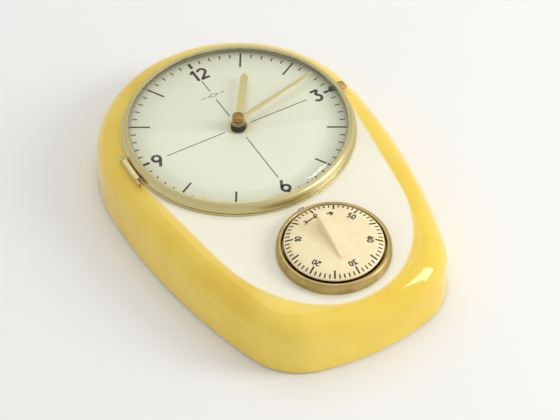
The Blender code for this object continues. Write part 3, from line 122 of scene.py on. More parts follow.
def colour(name, description, code):
    """A colour property."""
    return FloatVectorProperty(
        name=name, description=description, default=linear(code), size=4, min=0.0, max=1.0, subtype="COLOR"
    )


# ---------------------------------------------------------------- sizes and colours

class ClockCaseSettings(PropertyGroup):
    top_radius: length("Top arc", "Radius of the case round the dial", 88.2)
    side_radius: length("Side arc", "Radius of the long flank", 390.6)
    corner_radius: length("Corner arc", "Radius of the lower corners", 43.4)
    bottom_radius: length("Bottom arc", "Radius of the lower end", 151.5)
    side_start: number(
        "Side start", "Where the top arc gives way to the side", math.radians(87.8), subtype="ANGLE"
    )
    draft: length("Draft", "How far the wall leans in up to the shoulder", 1.3)
    shoulder_reach: length("Shoulder reach", "How far in the rounded shoulder runs", 17.0)
    shoulder_drop: length("Shoulder drop", "How far down the rounded shoulder runs", 16.2)
    wall: length("Wall", "Thickness of the fired wall", 7.0)
    rim_round: length("Rim", "Rounding of the foot rim", 1.2)
    clock_opening: length("Clock opening", "Radius of the hole behind the dial", 61.5)
    timer_opening: length("Timer opening", "Radius of the hole behind the timer", 6.0)
    field_width: length("Field width", "Half-width of the cream field level with the case's middle", 69.0)
    field_taper: number("Field taper", "How fast the cream field widens towards twelve o'clock", 0.145)
    field_low: length("Field low turn", "Level below which the field's lower end rounds in", -50.0)
    field_drop: length("Field drop", "From the low turn down to the field's lower end", 67.0)
    field_high: length("Field high turn", "Level above which the field closes in under the dial", 10.0)
    field_rise: length("Field rise", "From the high turn up to where the field would end", 80.0)
    field_fullness: number("Field fullness", "2 is an ellipse, and more is squarer", 2.2)
    field_softness: length("Field softness", "Width of the sprayed edge", 2.6)
    index_reach: length("Index reach", "From the timer's axis to the index mark's tip", 35.2)
    index_half: length("Index half-width", "Half of the index mark's width", 1.8)
    index_rise: length("Index height", "Height of the index mark", 3.2)
    index_weight: length("Index stroke", "Stroke of the index mark", 0.5)
    yellow: colour("Yellow glaze", "Main colour of the glaze", "F7D95F")
    deep_yellow: colour("Pooled yellow", "Where the yellow glaze lies thicker", "EBC640")
    cream: colour("Cream glaze", "Colour of the sprayed field", "F4EFDA")
    pinhole: colour("Pinhole", "Dirt in the glaze's pinholes", "6B5426")
    biscuit: colour("Biscuit", "Bare fired clay on the foot", "D9C7A4")
    index_red: colour("Index red", "Fired colour of the index mark", "7A3A34")


class ClockDialSettings(PropertyGroup):
    enamel: colour("Dial enamel", "Ground colour of the dial", "FFFAEA")
    # Painted shade: the darker, warmer colour that the dial takes towards its rim, for the shade under the
    # bezel.
    rim_enamel: colour("Rim enamel", "Warmer tone that the enamel takes at the rim", "E6E4CB")
    ink: colour("Dial ink", "Colour of the numerals", "45302F")
    numeral_height: length("Numerals", "Height of the four numerals", 10.4)
    numeral_weight: length("Numeral weight", "Stroke of the numerals", 1.9)
    numeral_radius: length("Numeral circle", "Radius of the circle the numerals stand on", 56.0)
    hairline: length("Hairline", "Width of the cross that divides the dial", 0.6)
    short_weight: length("Minute mark", "Width of a minute mark", 0.85)
    long_weight: length("Hour mark", "Width of an hour mark", 1.25)
    ornament_weight: length("Ornament", "Stroke of the ornament", 0.4)
    quarter_inner: length("Quarter mark inner", "Inner end of the marks at the quarters", 61.5)
    track_inner: length("Track inner", "Inner end of the minute marks", 63.4)
    track_outer: length("Track outer", "Outer end of the minute marks", 66.6)
    hour_inner: length("Hour mark inner", "Inner end of the hour marks", 54.8)
    hour_outer: length("Hour mark outer", "Outer end of the hour marks", 67.8)
    dial_hole: length("Dial hole", "Radius of the hole in the dial", 4.1)
    washer_hole: length("Washer hole", "Radius of the hole in the washer", 4.4)


class ClockMetalSettings(PropertyGroup):
    bezel_wall: length("Bezel wall", "Thickness of the bezel's side", 1.1)
    bezel_lean: length("Bezel lean", "How far the bezel's side leans in up to its lip", 1.5)
    lip_width: length("Lip width", "Width of the bezel's sloping lip", 3.2)
    lip_drop: length("Lip drop", "How far the lip slopes down to its outer edge", 1.4)
    tab_corner: length("Tab corner", "Rounding of the lifting tab's corners", 1.6)
    retainer_width: length("Retainer width", "Width of the ring that holds the glass", 1.2)
    glass_thickness: length("Glass", "Thickness of the domed glass", 1.3)
    glass_fullness: number("Glass fullness", "2 is an ellipse, and more is squarer", 3.2)
    brass: colour("Bezel brass", "Lacquered brass of the bezel", "D9CC96")
    dark_brass: colour("Ring brass", "Older brass of the timer's ring", "C4AB6E")
    gilt: colour("Hand gilt", "Gilt of the hands", "E6D29A")
    amber: colour("Nut lacquer", "Amber lacquer of the hand nut", "A97F3B")
    steel: colour("Steel", "Turned steel", "B4B4B0")
    plate: colour("Movement brass", "Rolled brass of the plates and wheels", "CDAF6B")
    # Painted shade: a dark brown mixed in patches into the brass of the glass's retaining ring, for the
    # shade inside the bezel.
    shade: colour("Shaded brass", "Brass that has darkened under the glass", "3E3018")
    tarnish: colour("Tarnish", "Brown bloom on handled brass", "7A6230")
    blued: colour("Blued steel", "Tempered spring steel", "28303F")
    black: colour("Blackened steel", "Oil-blackened steel", "1B1A18")
    enamel: colour("Stove enamel", "Grey enamel of the back cover", "B9BAB0")


class ClockKnobSettings(PropertyGroup):
    plastic: colour("Knob plastic", "Aged cream plastic", "FBE9BC")
    mottle: colour("Knob mottle", "Darker clouds in the plastic", "F1D79A")
    ink: colour("Scale ink", "Colour of the scale", "17140F")
    thickness: length("Thickness", "From the flat top down to the knob's underside", 4.3)
    scale_width: length("Scale width", "Width of the sloping scale", 6.0)
    scale_drop: length("Scale drop", "How far the scale slopes down to the rim", 1.9)
    rim: length("Rim", "Height of the overhanging rim", 1.4)
    overhang: length("Overhang", "How far the rim stands out over the skirt", 1.5)
    hub: length("Hub", "Radius of the hub under the knob", 7.5)
    bore: length("Bore", "Radius of the bore that takes the shaft", 3.1)
    hub_drop: length("Hub drop", "How far the hub reaches below the knob's underside", 1.0)
    bore_rise: length("Bore rise", "How far the bore reaches above the knob's underside", 1.2)
    ring_width: length("Ring width", "Width of the brass ring round the knob", 3.4)
    ring_hole: length("Ring hole", "Radius of the hole in the ring's floor", 6.0)
    ring_floor: length("Ring floor", "Thickness of the ring's floor", 1.0)
    grip_back: length("Grip back", "From the axis to the grip's broad low end", 15.0)
    grip_tip: length("Grip tip", "From the axis to the grip's narrow tall end", 16.0)
    grip_back_width: length("Grip back width", "Width of the low end", 9.6)
    grip_tip_width: length("Grip tip width", "Width of the tall end", 5.5)
    grip_back_rise: length("Grip back rise", "Height of the low end above the flat top", 0.8)
    grip_rise: length("Grip rise", "Height of the tall end above the flat top", 8.3)
    grip_round: length("Grip rounding", "Radius of the grip's edges", 1.0)
    grip_pinch: number("Grip pinch", "How far its flanks are drawn in, as a share", 0.12)
    mark_margin: length("Mark margin", "From the scale's marks out to the rim", 0.8)
    long_mark: length("Long mark", "Length of a five-minute mark", 5.0)
    short_mark: length("Short mark", "Length of a one-minute mark", 2.7)
    long_weight: length("Long mark weight", "Width of a five-minute mark", 1.0)
    short_weight: length("Short mark weight", "Width of a one-minute mark", 0.8)
    number_height: length("Number height", "Height of the scale's numbers", 3.9)
    number_weight: length("Number weight", "Stroke of the scale's numbers", 0.8)
    number_radius: length("Number circle", "Radius of the circle the numbers stand on", 20.9)
    arrow_radius: length("Arrow circle", "Radius of the arrow's shaft", 20.6)


class ClockStageSettings(PropertyGroup):
    floor: colour("Floor", "Plain pale floor", "F4F4F2")
    floor_size: number("Floor size", "From the floor's middle to its side", 3.0, unit="LENGTH")
    window_power: number("Window", "Power of the window light", 9.0, unit="POWER")
    ceiling_power: number("Ceiling", "Power of the soft light above", 4.0, unit="POWER")
    sky: number("Sky", "Strength of the light from all round", 0.67)
    lens: number("Lens", "Focal length in millimetres", 113.3)


# ---------------------------------------------------------------- mesh helpers

def finished(name, work):
    """The mesh that a bmesh has become."""
    data = bpy.data.meshes.new(name)
    work.to_mesh(data)
    work.free()
    return data


def smooth(data):
    """Shades a mesh smooth between its creases."""
    data.shade_smooth()
    data.set_sharp_from_angle(angle=SHARP)


def add_object(name, data):
    """A new object in the scene."""
    made = bpy.data.objects.new(name, data)
    bpy.context.scene.collection.objects.link(made)
    return made


def piece(name, work, material, body, slot, *nodes):
    """Closes a bmesh into a smooth-shaded piece that rides on a body and stands for the given nodes."""
    bmesh.ops.recalc_face_normals(work, faces=work.faces)
    data = finished(name, work)
    smooth(data)
    data.materials.append(material)
    made = add_object(name, data)
    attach(made, body)
    if nodes:
        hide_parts(*nodes)
    return made


def soften(work, width, segments=3, fold=SHARP):
    """Rounds every edge that folds more than a limit."""
    folds = [edge for edge in work.edges if edge.is_manifold and edge.calc_face_angle(0.0) > fold]
    bmesh.ops.bevel(
        work, geom=folds, offset=width, offset_type="OFFSET", segments=segments, profile=0.5,
        affect="EDGES", material=-1, clamp_overlap=True,
    )


def turn(work, profile, centre, steps=TURNING_STEPS):
    """Spins a half-section, (radius, height) points, round an upright axis over a point in plan."""
    start = len(work.verts)
    verts = [work.verts.new((centre[0] + radius, centre[1], height)) for radius, height in profile]
    edges = [work.edges.new(pair) for pair in zip(verts, verts[1:])]
    if profile[0][0] > 0.0:
        edges.append(work.edges.new((verts[-1], verts[0])))
    bmesh.ops.spin(
        work, geom=verts + edges, cent=(*centre, 0.0), axis=(0, 0, 1), angle=math.tau, steps=steps,
        use_merge=True,
    )
    work.verts.ensure_lookup_table()
    bmesh.ops.remove_doubles(work, verts=work.verts[start:], dist=2 * SAME_PLACE)


def tube(inner, outer, bottom, top):
    """The half-section of a plain ring."""
    return [(inner, top), (outer, top), (outer, bottom), (inner, bottom)]


def turned(name, profile, centre, material, body, slot, *nodes, corner=0.2 * MM, steps=TURNING_STEPS):
    """A turned piece with its corners rounded."""
    work = bmesh.new()
    turn(work, profile, centre, steps)
    bmesh.ops.recalc_face_normals(work, faces=work.faces)
    soften(work, corner)
    return piece(name, work, material, body, slot, *nodes)


def bar(work, start, end, weight, level):
    """A straight stroke of ink between two points in plan."""
    start, end = Vector(start), Vector(end)
    along = end - start
    at = (start + end) / 2
    matrix = (
        Matrix.Translation((at.x, at.y, level + INK_THICKNESS / 2))
        @ Matrix.Rotation(math.atan2(along.y, along.x), 4, "Z")
        @ Matrix.Diagonal((along.length, weight, INK_THICKNESS, 1.0))
    )
    bmesh.ops.create_cube(work, size=1.0, matrix=matrix)


def bend(work, centre, radius, start, sweep, weight, level):
    """A curved stroke of ink: a small upright section spun round a centre. Angles are degrees from +X."""
    matrix = (
        Matrix.Translation((centre[0], centre[1], level + INK_THICKNESS / 2))
        @ Matrix.Rotation(math.radians(start), 4, "Z")
        @ Matrix.Translation((radius, 0.0, 0.0))
        @ Matrix.Rotation(math.pi / 2, 4, "X")
        @ Matrix.Diagonal((weight, INK_THICKNESS, 1.0, 1.0))
    )
    section = bmesh.ops.create_grid(work, x_segments=1, y_segments=1, size=0.5, matrix=matrix)["verts"]
    faces = list({face for vert in section for face in vert.link_faces})
    edges = list({edge for vert in section for edge in vert.link_edges})
    bmesh.ops.spin(
        work, geom=section + edges + faces, cent=(centre[0], centre[1], level), axis=(0, 0, 1),
        angle=math.radians(sweep), steps=max(4, round(abs(sweep) / DEGREES_PER_FACET)),
        use_merge=abs(sweep) >= 360,
    )


def outline(work, corners, weight, level):
    """Strokes from each corner to the next, and from the last back to the first."""
    for start, end in zip(corners, corners[1:] + corners[:1]):
        bar(work, start, end, weight, level)


DEGREES_PER_FACET = 8               # along a curved stroke

# Numerals as strokes of a pen, in a cell one unit high: bars by their ends, bends by centre, radius,
# starting angle and sweep. The pen's width is added later.
NUMERALS = {
    "0": (("bend", 0.28, 0.70, 0.21, 0, 180), ("bar", 0.07, 0.70, 0.07, 0.30),
          ("bend", 0.28, 0.30, 0.21, 180, 180), ("bar", 0.49, 0.30, 0.49, 0.70)),
    "1": (("bar", 0.30, 0.0, 0.30, 1.0), ("bar", 0.31, 0.95, 0.08, 0.76)),
    "2": (("bend", 0.31, 0.68, 0.24, 165, -205), ("bar", 0.50, 0.53, 0.07, 0.05),
          ("bar", 0.02, 0.07, 0.58, 0.07)),
    "3": (("bar", 0.05, 0.93, 0.53, 0.93), ("bar", 0.52, 0.94, 0.25, 0.57),
          ("bend", 0.26, 0.31, 0.24, 95, -250)),
    "4": (("bar", 0.43, 0.0, 0.43, 1.0), ("bar", 0.44, 0.97, 0.04, 0.27), ("bar", 0.0, 0.27, 0.60, 0.27)),
    "5": (("bar", 0.12, 0.93, 0.52, 0.93), ("bar", 0.16, 0.96, 0.11, 0.50),
          ("bend", 0.26, 0.31, 0.24, 128, -273)),
    "6": (("bend", 0.30, 0.30, 0.235, 0, 360), ("bar", 0.085, 0.395, 0.36, 0.985)),
}
# A nine is a six turned half round in its cell, which is this wide.
SIX_WIDTH = 0.60
NUMERALS["9"] = tuple(
    ("bend", SIX_WIDTH - s[1], 1.0 - s[2], *s[3:]) if s[0] == "bend"
    else ("bar", SIX_WIDTH - s[1], 1.0 - s[2], SIX_WIDTH - s[3], 1.0 - s[4])
    for s in NUMERALS["6"]
)
# From one numeral to the next, as a share of the height. The drawn numeral is a little narrower.
NARROW_STEP, WIDE_STEP, DRAWN_WIDTH = 0.48, 0.70, 0.58


def write(work, text, at, height, weight, level, turned_by=0.0):
    """Prints a number with its middle at a point in plan, turned about that point."""
    start = len(work.verts)
    widths = [NARROW_STEP if letter == "1" else WIDE_STEP for letter in text]
    cursor = -sum(widths) / 2 + (WIDE_STEP - DRAWN_WIDTH) / 2
    for letter, width in zip(text, widths):
        for kind, *n in NUMERALS[letter]:
            if kind == "bar":
                ends = [((n[i] + cursor) * height, (n[i + 1] - 0.5) * height) for i in (0, 2)]
                bar(work, *ends, weight, 0.0)
            else:
                centre = ((n[0] + cursor) * height, (n[1] - 0.5) * height)
                bend(work, centre, n[2] * height, n[3], n[4], weight, 0.0)
        cursor += width
    work.verts.ensure_lookup_table()
    place = Matrix.Translation((at[0], at[1], level)) @ Matrix.Rotation(turned_by, 4, "Z")
    bmesh.ops.transform(work, matrix=place, verts=work.verts[start:])


def clockwise(centre, radius, turn_from_top):
    """The point at a radius and a clockwise angle from twelve o'clock."""
    return centre + radius * Vector((math.sin(turn_from_top), math.cos(turn_from_top)))


# ---------------------------------------------------------------- materials

# Most of a noise texture's values lie between these two.
SPREAD = (0.3, 0.7)
# A Mix node of colours takes its share and its colours at inputs 0, 6 and 7, and gives them at output 2.
COLOURS = {"data_type": "RGBA", "output": 2}


def connect(node, inputs):
    """Sets a node's inputs, by place or by name, to values, or links them to other nodes' outputs."""
    for key, value in inputs.items() if isinstance(inputs, dict) else enumerate(inputs):
        if isinstance(value, bpy.types.NodeSocket):
            node.id_data.links.new(value, node.inputs[key])
        else:
            node.inputs[key].default_value = value


def add_node(tree, kind, inputs=(), output=0, **settings):
    """Adds a shader node with its settings and inputs, and gives back one of its outputs."""
    node = tree.nodes.new("ShaderNode" + kind)
    for name, value in settings.items():
        setattr(node, name, value)
    connect(node, inputs)
    return node.outputs[output]


def new_material(name):
    """A material, what adds a node to it, its shader, and the object's own coordinates in metres."""
    made = bpy.data.materials.new(name)
    made.use_nodes = True
    add = partial(add_node, made.node_tree)
    return made, add, made.node_tree.nodes["Principled BSDF"], add("TexCoord", output="Object")


def shaded(add, noise, main, darkest, lightest):
    """A colour that a noise makes a little darker and lighter, by shares of its value."""
    value = add("MapRange", [noise, *SPREAD, darkest, lightest])
    return add("HueSaturation", {"Color": main, "Value": value})


def glazed_earthenware(case):
    """Slip-cast earthenware under two sprayed glazes. The glaze is glassy, slightly rippled like an orange
    peel, pools a little deeper here and there, holds a few pinholes, and stops short of the bare foot."""
    made, add, shader, position = new_material("glazed_earthenware")
    x, y, z = add("SeparateXYZ", [position], output=slice(0, 3))
    # The cream field tapers downwards, and both its ends round in as a superellipse does.
    low = add("MapRange", [y, case.field_low, case.field_low - case.field_drop], clamp=False)
    high = add("MapRange", [y, case.field_high, case.field_high + case.field_rise], clamp=False)
    tall = add("Math", [low, high], operation="MAXIMUM")
    tall = add("Math", [tall, 0.0], operation="MAXIMUM")
    tall = add("Math", [tall, case.field_fullness], operation="POWER")
    half = add("Math", [y, case.field_taper, case.field_width], operation="MULTIPLY_ADD")
    wide = add("Math", [x], operation="ABSOLUTE")
    wide = add("Math", [wide, half], operation="DIVIDE")
    wide = add("Math", [wide, case.field_fullness], operation="POWER")
    reach = add("Math", [wide, tall], operation="ADD")
    reach = add("Math", [reach, 1 / case.field_fullness], operation="POWER")
    # The sprayed edge wanders by about a millimetre over three centimetres.
    wandering = 0.02
    wander = add("TexNoise", {"Vector": position, "Scale": 1 / (30 * MM), "Detail": 2.0})
    reach = add("Math", [wander, wandering, reach], operation="MULTIPLY_ADD")
    edge, soft = 1.0 + wandering / 2, case.field_softness / case.field_width / 2
    field = add("MapRange", [reach, edge - soft, edge + soft], interpolation_type="SMOOTHSTEP")
    # Pooling: the yellow wanders between two depths over about five centimetres.
    pool = add("TexNoise", {"Vector": position, "Scale": 1 / (50 * MM), "Detail": 3.0})
    pool = add("MapRange", [pool, 0.35, 0.75])
    yellow = add("Mix", {0: pool, 6: case.yellow, 7: case.deep_yellow}, **COLOURS)
    glaze = add("Mix", {0: field, 6: case.cream, 7: yellow}, **COLOURS)
    # Pinholes about half a millimetre across, one every centimetre or two.
    pits = add("TexVoronoi", {"Vector": position, "Scale": 1 / (16 * MM)})
    pits = add("MapRange", [pits, 0.012, 0.02, 0.55, 0.0])
    glaze = add("Mix", {0: pits, 6: glaze, 7: case.pinhole}, **COLOURS)
    # The foot stands bare up to about a millimetre.
    bare = add("Math", [wander, 1.2 * MM], operation="MULTIPLY")
    bare = add("Math", [z, bare], operation="SUBTRACT")
    bare = add("MapRange", [bare, 0.1 * MM, 0.4 * MM, 1.0, 0.0])
    surface = add("Mix", {0: bare, 6: glaze, 7: case.biscuit}, **COLOURS)
    rough = add("MapRange", [bare, 0.0, 1.0, 0.07, 0.85])
    peel = add("TexNoise", {"Vector": position, "Scale": 1 / (9 * MM), "Detail": 1.0})
    ripple = add("Bump", {"Height": peel, "Strength": 0.25, "Distance": 0.06 * MM})
    connect(shader, {"Base Color": surface, "Roughness": rough, "IOR": 1.52, "Normal": ripple})
    return made


def turned_metal(name, main, worn, roughness, centre, line=0.6 * MM, patch_share=0.35):
    """Metal turned on a lathe and lacquered: faint rings round its axis, drawn coarse enough to show, and
    cloudy patches of a second colour, which is aged lacquer on most pieces and painted shade on the glass's
    retaining ring."""
    made, add, shader, position = new_material(name)
    from_axis = add("Mapping", {0: position, "Location": (-centre.x, -centre.y, 0.0), "Scale": (1, 1, 0)})
    radius = add("VectorMath", [from_axis], output="Value", operation="LENGTH")
    height = add("SeparateXYZ", [position], output="Z")
    rings = add("CombineXYZ", [radius, height, 0.0])
    rings = add("TexNoise", {"Vector": rings, "Scale": 1 / line, "Detail": 2.0})
    patches = add("TexNoise", {"Vector": position, "Scale": 1 / (11 * MM), "Detail": 5.0})
    # The patches mix in the second colour: aged lacquer, and painted shade on the retaining ring.
    aged = add("MapRange", [patches, 0.45, 0.8, 0.0, patch_share])
    tone = add("Mix", {0: aged, 6: main, 7: worn}, **COLOURS)
    tone = shaded(add, rings, tone, 0.95, 1.05)
    rough = add("MapRange", [patches, 0.3, 0.8, roughness, roughness + 0.12])
    bump = add("Bump", {"Height": rings, "Strength": 0.2, "Distance": 0.03 * MM})
    connect(shader, {"Base Color": tone, "Metallic": 1.0, "Roughness": rough, "Normal": bump})
    return made


def plain_metal(name, main, roughness, grain=2.5 * MM):
    """Rolled or milled metal: a satin surface with soft streaks and handling marks."""
    made, add, shader, position = new_material(name)
    streaks = add("Mapping", {0: position, "Scale": (1.0, 0.12, 1.0)})
    streaks = add("TexNoise", {"Vector": streaks, "Scale": 1 / grain, "Detail": 3.0})
    tone = shaded(add, streaks, main, 0.9, 1.08)
    rough = add("MapRange", [streaks, *SPREAD, roughness, roughness + 0.15])
    connect(shader, {"Base Color": tone, "Metallic": 1.0, "Roughness": rough})
    return made


def dial_enamel(dial):
    """Sprayed dial enamel on sheet metal: satin, very slightly grained, and darker and warmer towards the
    rim, where painted shade stands for the bezel's shade.
    """
    made, add, shader, position = new_material("dial_enamel")
    centred = add("Mapping", {0: position, "Location": (-CLOCK.x, -CLOCK.y, -DIAL_TOP)})
    radius = add("VectorMath", [centred], output="Value", operation="LENGTH")
    # Painted shade: from 50 mm out the enamel turns towards the darker rim colour, half way by 72 mm.
    rim = add("MapRange", [radius, 50 * MM, 72 * MM, 0.0, 0.5])
    tone = add("Mix", {0: rim, 6: dial.enamel, 7: dial.rim_enamel}, **COLOURS)
    grain = add("TexNoise", {"Vector": position, "Scale": 1 / (0.7 * MM), "Detail": 2.0})
    tone = shaded(add, grain, tone, 0.985, 1.015)
    connect(shader, {"Base Color": tone, "Roughness": 0.42})
    return made


def printing_ink(name, main):
    """Pad-printed ink: matt, thin, and a touch uneven in depth."""
    made, add, shader, position = new_material(name)
    depth = add("TexNoise", {"Vector": position, "Scale": 1 / (1.5 * MM), "Detail": 2.0})
    connect(shader, {"Base Color": shaded(add, depth, main, 0.85, 1.3), "Roughness": 0.55})
    return made


def clear_glass():
    """A thin slumped dome of window glass. Light goes straight through it to the dial, and only its skin
    mirrors the room, more strongly at a glancing angle."""
    made, add, shader, position = new_material("clear_glass")
    wave = add("TexNoise", {"Vector": position, "Scale": 1 / (40 * MM), "Detail": 1.0})
    wave = add("Bump", {"Height": wave, "Strength": 0.1, "Distance": 0.1 * MM})
    through = add("BsdfTransparent", [linear("FAFCF9")])
    skin = add("BsdfGlossy", {"Roughness": 0.02, "Normal": wave})
    glance = add("LayerWeight", {"Blend": 0.5}, output="Facing")
    glance = add("Math", [glance, 5.0], operation="POWER")
    glance = add("Math", [glance, 0.9, 0.03], operation="MULTIPLY_ADD")
    mixed = add("MixShader", [glance, through, skin])
    connect(made.node_tree.nodes["Material Output"], {"Surface": mixed})
    made.node_tree.nodes.remove(shader)
    return made


def moulded_plastic(knob):
    """Compression-moulded urea plastic, aged to cream: glossy, faintly mottled, dulled by handling."""
    made, add, shader, position = new_material("moulded_urea")
    clouds = add("TexNoise", {"Vector": position, "Scale": 1 / (6 * MM), "Detail": 4.0})
    blend = add("MapRange", [clouds, 0.4, 0.75, 0.0, 0.35])
    tone = add("Mix", {0: blend, 6: knob.plastic, 7: knob.mottle}, **COLOURS)
    rough = add("MapRange", [clouds, *SPREAD, 0.28, 0.4])
    skin = add("TexNoise", {"Vector": position, "Scale": 1 / (1.2 * MM), "Detail": 2.0})
    bump = add("Bump", {"Height": skin, "Strength": 0.1, "Distance": 0.04 * MM})
    connect(shader, {
        "Base Color": tone, "Roughness": rough, "IOR": 1.54, "Normal": bump, "Subsurface Weight": 0.15,
        "Subsurface Scale": 1.0 * MM,
    })
    return made


def stove_enamel(name, main):
    """Sprayed and baked enamel on sheet steel: low gloss with a fine spatter."""
    made, add, shader, position = new_material(name)
    spatter = add("TexNoise", {"Vector": position, "Scale": 1 / (1.8 * MM), "Detail": 3.0})
    tone = shaded(add, spatter, main, 0.93, 1.06)
    bump = add("Bump", {"Height": spatter, "Strength": 0.2, "Distance": 0.05 * MM})
    connect(shader, {"Base Color": tone, "Roughness": 0.5, "Normal": bump})
    return made


def rubber():
    """Moulded rubber: dark, matt, with a dusty bloom."""
    made, add, shader, position = new_material("moulded_rubber")
    bloom = add("TexNoise", {"Vector": position, "Scale": 1 / (5 * MM), "Detail": 4.0})
    tone = shaded(add, bloom, linear("1E1C1B"), 0.8, 1.5)
    connect(shader, {"Base Color": tone, "Roughness": 0.8})
    return made


# ---------------------------------------------------------------- case

def trace_case(work, case):
    """Draws the case's outline at the foot's upper edge: four arcs spun from a point, then mirrored."""
    top = Vector((0.0, CASE_LENGTH / 2 - case.top_radius))
    side = clockwise(top, case.top_radius - case.side_radius, case.side_start)
    bottom = Vector((0.0, case.bottom_radius - CASE_LENGTH / 2))
    # The corner arc touches its neighbours inside, so its centre lies on a circle round each.
    reach_side = case.side_radius - case.corner_radius
    reach_bottom = case.bottom_radius - case.corner_radius
    apart = bottom - side
    along = (reach_side ** 2 - reach_bottom ** 2 + apart.length_squared) / (2 * apart.length)
    off = math.sqrt(reach_side ** 2 - along ** 2)
    unit = apart.normalized()
    crossings = [side + along * unit + turn_sign * off * unit.orthogonal() for turn_sign in (1, -1)]
    corner = min(crossings, key=lambda point: point.y)
    side_end = math.atan2(*(corner - side))
    corner_end = math.atan2(*(corner - bottom))
    arcs = (
        (top, 0.0, case.side_start), (side, case.side_start, side_end), (corner, side_end, corner_end),
        (bottom, corner_end, math.pi),
    )
    tip = [work.verts.new((0.0, CASE_LENGTH / 2, case.rim_round))]
    for (centre, start, end), steps in zip(arcs, ARC_STEPS):
        spun = bmesh.ops.spin(
            work, geom=tip, cent=(*centre, case.rim_round), axis=(0, 0, 1), angle=start - end, steps=steps
        )
        tip = [item for item in spun["geom_last"] if isinstance(item, bmesh.types.BMVert)]
    bmesh.ops.remove_doubles(work, verts=work.verts, dist=SAME_PLACE)
    tip[0].co.x = 0.0
    bmesh.ops.mirror(work, geom=work.verts[:] + work.edges[:], axis="X", merge_dist=10 * SAME_PLACE)


def inset_steps(work, face, sections):
    """Insets a face through (how far in, how high) sections, from where it lies now."""
    inset, height = 0.0, face.verts[0].co.z
    upward = 1.0 if face.normal.z > 0 else -1.0
    for further, level in sections:
        bmesh.ops.inset_region(
            work, faces=[face], thickness=further - inset, depth=(level - height) * upward,
            use_even_offset=True, use_boundary=True,
        )
        inset, height = further, level


def quarter(inset, reach, low, rise, steps):
    """Sections of a quarter round that starts upright and ends flat."""
    turns = [math.pi / 2 * (i + 1) / steps for i in range(steps)]
    return [(inset + reach * (1 - math.cos(t)), low + rise * math.sin(t)) for t in turns]


def cut_openings(work, face, case, level):
    """Takes a face out and fills its outline again round the clock's and the timer's openings."""
    edges = list(face.edges)
    bmesh.ops.delete(work, geom=[face], context="FACES_ONLY")
    circles = []
    openings = ((CLOCK, case.clock_opening), (TIMER, case.timer_opening))
    for (centre, radius), steps in zip(openings, OPENING_STEPS):
        matrix = Matrix.Translation((*centre, level))
        verts = bmesh.ops.create_circle(work, segments=steps, radius=radius, matrix=matrix)["verts"]
        circles.append(list({edge for vert in verts for edge in vert.link_edges}))
    bmesh.ops.triangle_fill(work, edges=edges + circles[0] + circles[1], use_beauty=True, normal=(0, 0, 1))
    return circles


def case_cap(work, loop, upward):
    """Fills the case's outline with one face that looks up or down."""
    cap = bmesh.ops.contextual_create(work, geom=loop)["faces"][0]
    cap.normal_update()
    if (cap.normal.z > 0) != upward:
        cap.normal_flip()
    return cap


def make_case(case):
    """The hollow glazed case: outer skin, foot rim, inner skin, and the two openings through its front."""
    work = bmesh.new()
    trace_case(work, case)
    loop = work.edges[:]
    drop, reach, wall, clear = case.shoulder_drop, case.shoulder_reach, case.wall, 1.0 * MM
    outer = case_cap(work, loop, upward=True)
    foot = CASE_TOP - drop
    shares = [(i + 1) / WALL_STEPS for i in range(WALL_STEPS)]
    sections = [(case.draft * share, case.rim_round + (foot - case.rim_round) * share) for share in shares]
    sections += quarter(case.draft, reach, foot, drop, SHOULDER_STEPS)
    sections.append((case.draft + reach + clear, CASE_TOP))
    inset_steps(work, outer, sections)
    inner = case_cap(work, loop, upward=False)
    sections = [(case.rim_round * (1 - math.cos(t)), case.rim_round * (1 - math.sin(t)))
                for t in (math.pi / 2 * share for share in shares)]
    ceiling, round_inside = CASE_TOP - wall + clear, 0.6 * MM
    drop, reach = drop - wall / 2, reach - wall / 2
    sections += [(wall - round_inside, 0.0), (wall, round_inside), (wall + case.draft, ceiling - drop)]
    sections += quarter(wall + case.draft, reach, ceiling - drop, drop, INSIDE_STEPS)
    inset_steps(work, inner, sections)
    front = cut_openings(work, outer, case, CASE_TOP)
    back = cut_openings(work, inner, case, ceiling)
    for upper, lower in zip(front, back):
        bmesh.ops.bridge_loops(work, edges=upper + lower)
    return piece("glazed_case", work, glazed_earthenware(case), "case", "glazed_ceramic", "ceramic_case")


def make_index_mark(case):
    """The small outlined triangle that the timer's scale is read against, fired onto the glaze."""
    work = bmesh.new()
    tip = TIMER + Vector((0.0, case.index_reach))
    corners = [tip + Vector((side * case.index_half, abs(side) * case.index_rise)) for side in (0, 1, -1)]
    outline(work, corners, case.index_weight, CASE_TOP)
    return piece("index_mark", work, printing_ink("fired_red", case.index_red), "case", "glazed_ceramic")


# ---------------------------------------------------------------- dial and hands

# In millimetres from the dial's centre, or for a numeral, from its place on the numerals' circle.
DIAL_NUMERALS = (("12", (1.2, -1.7)), ("3", (0.5, 0.0)), ("6", (-0.3, -1.7)), ("9", (-0.5, -1.0)))
# The hairline cross, broken at the centre and where the ornament stands.
CROSS = (
    ((0.0, 48.2), (0.0, 37.1)), ((0.0, 28.9), (0.0, 11.4)), ((0.0, -10.3), (0.0, -50.2)),
    ((8.6, 0.0), (48.9, 0.0)), ((-9.6, 0.0), (-49.8, 0.0)),
)
ORNAMENT_PLACE = (0.0, 33.0)
ORNAMENT_CORNERS = ((3.4, 0.0), (0.0, 1.5), (-3.4, 0.0), (0.0, -1.5))
ORNAMENT_DASH = (4.8, 8.2)          # how far out each dash starts and ends


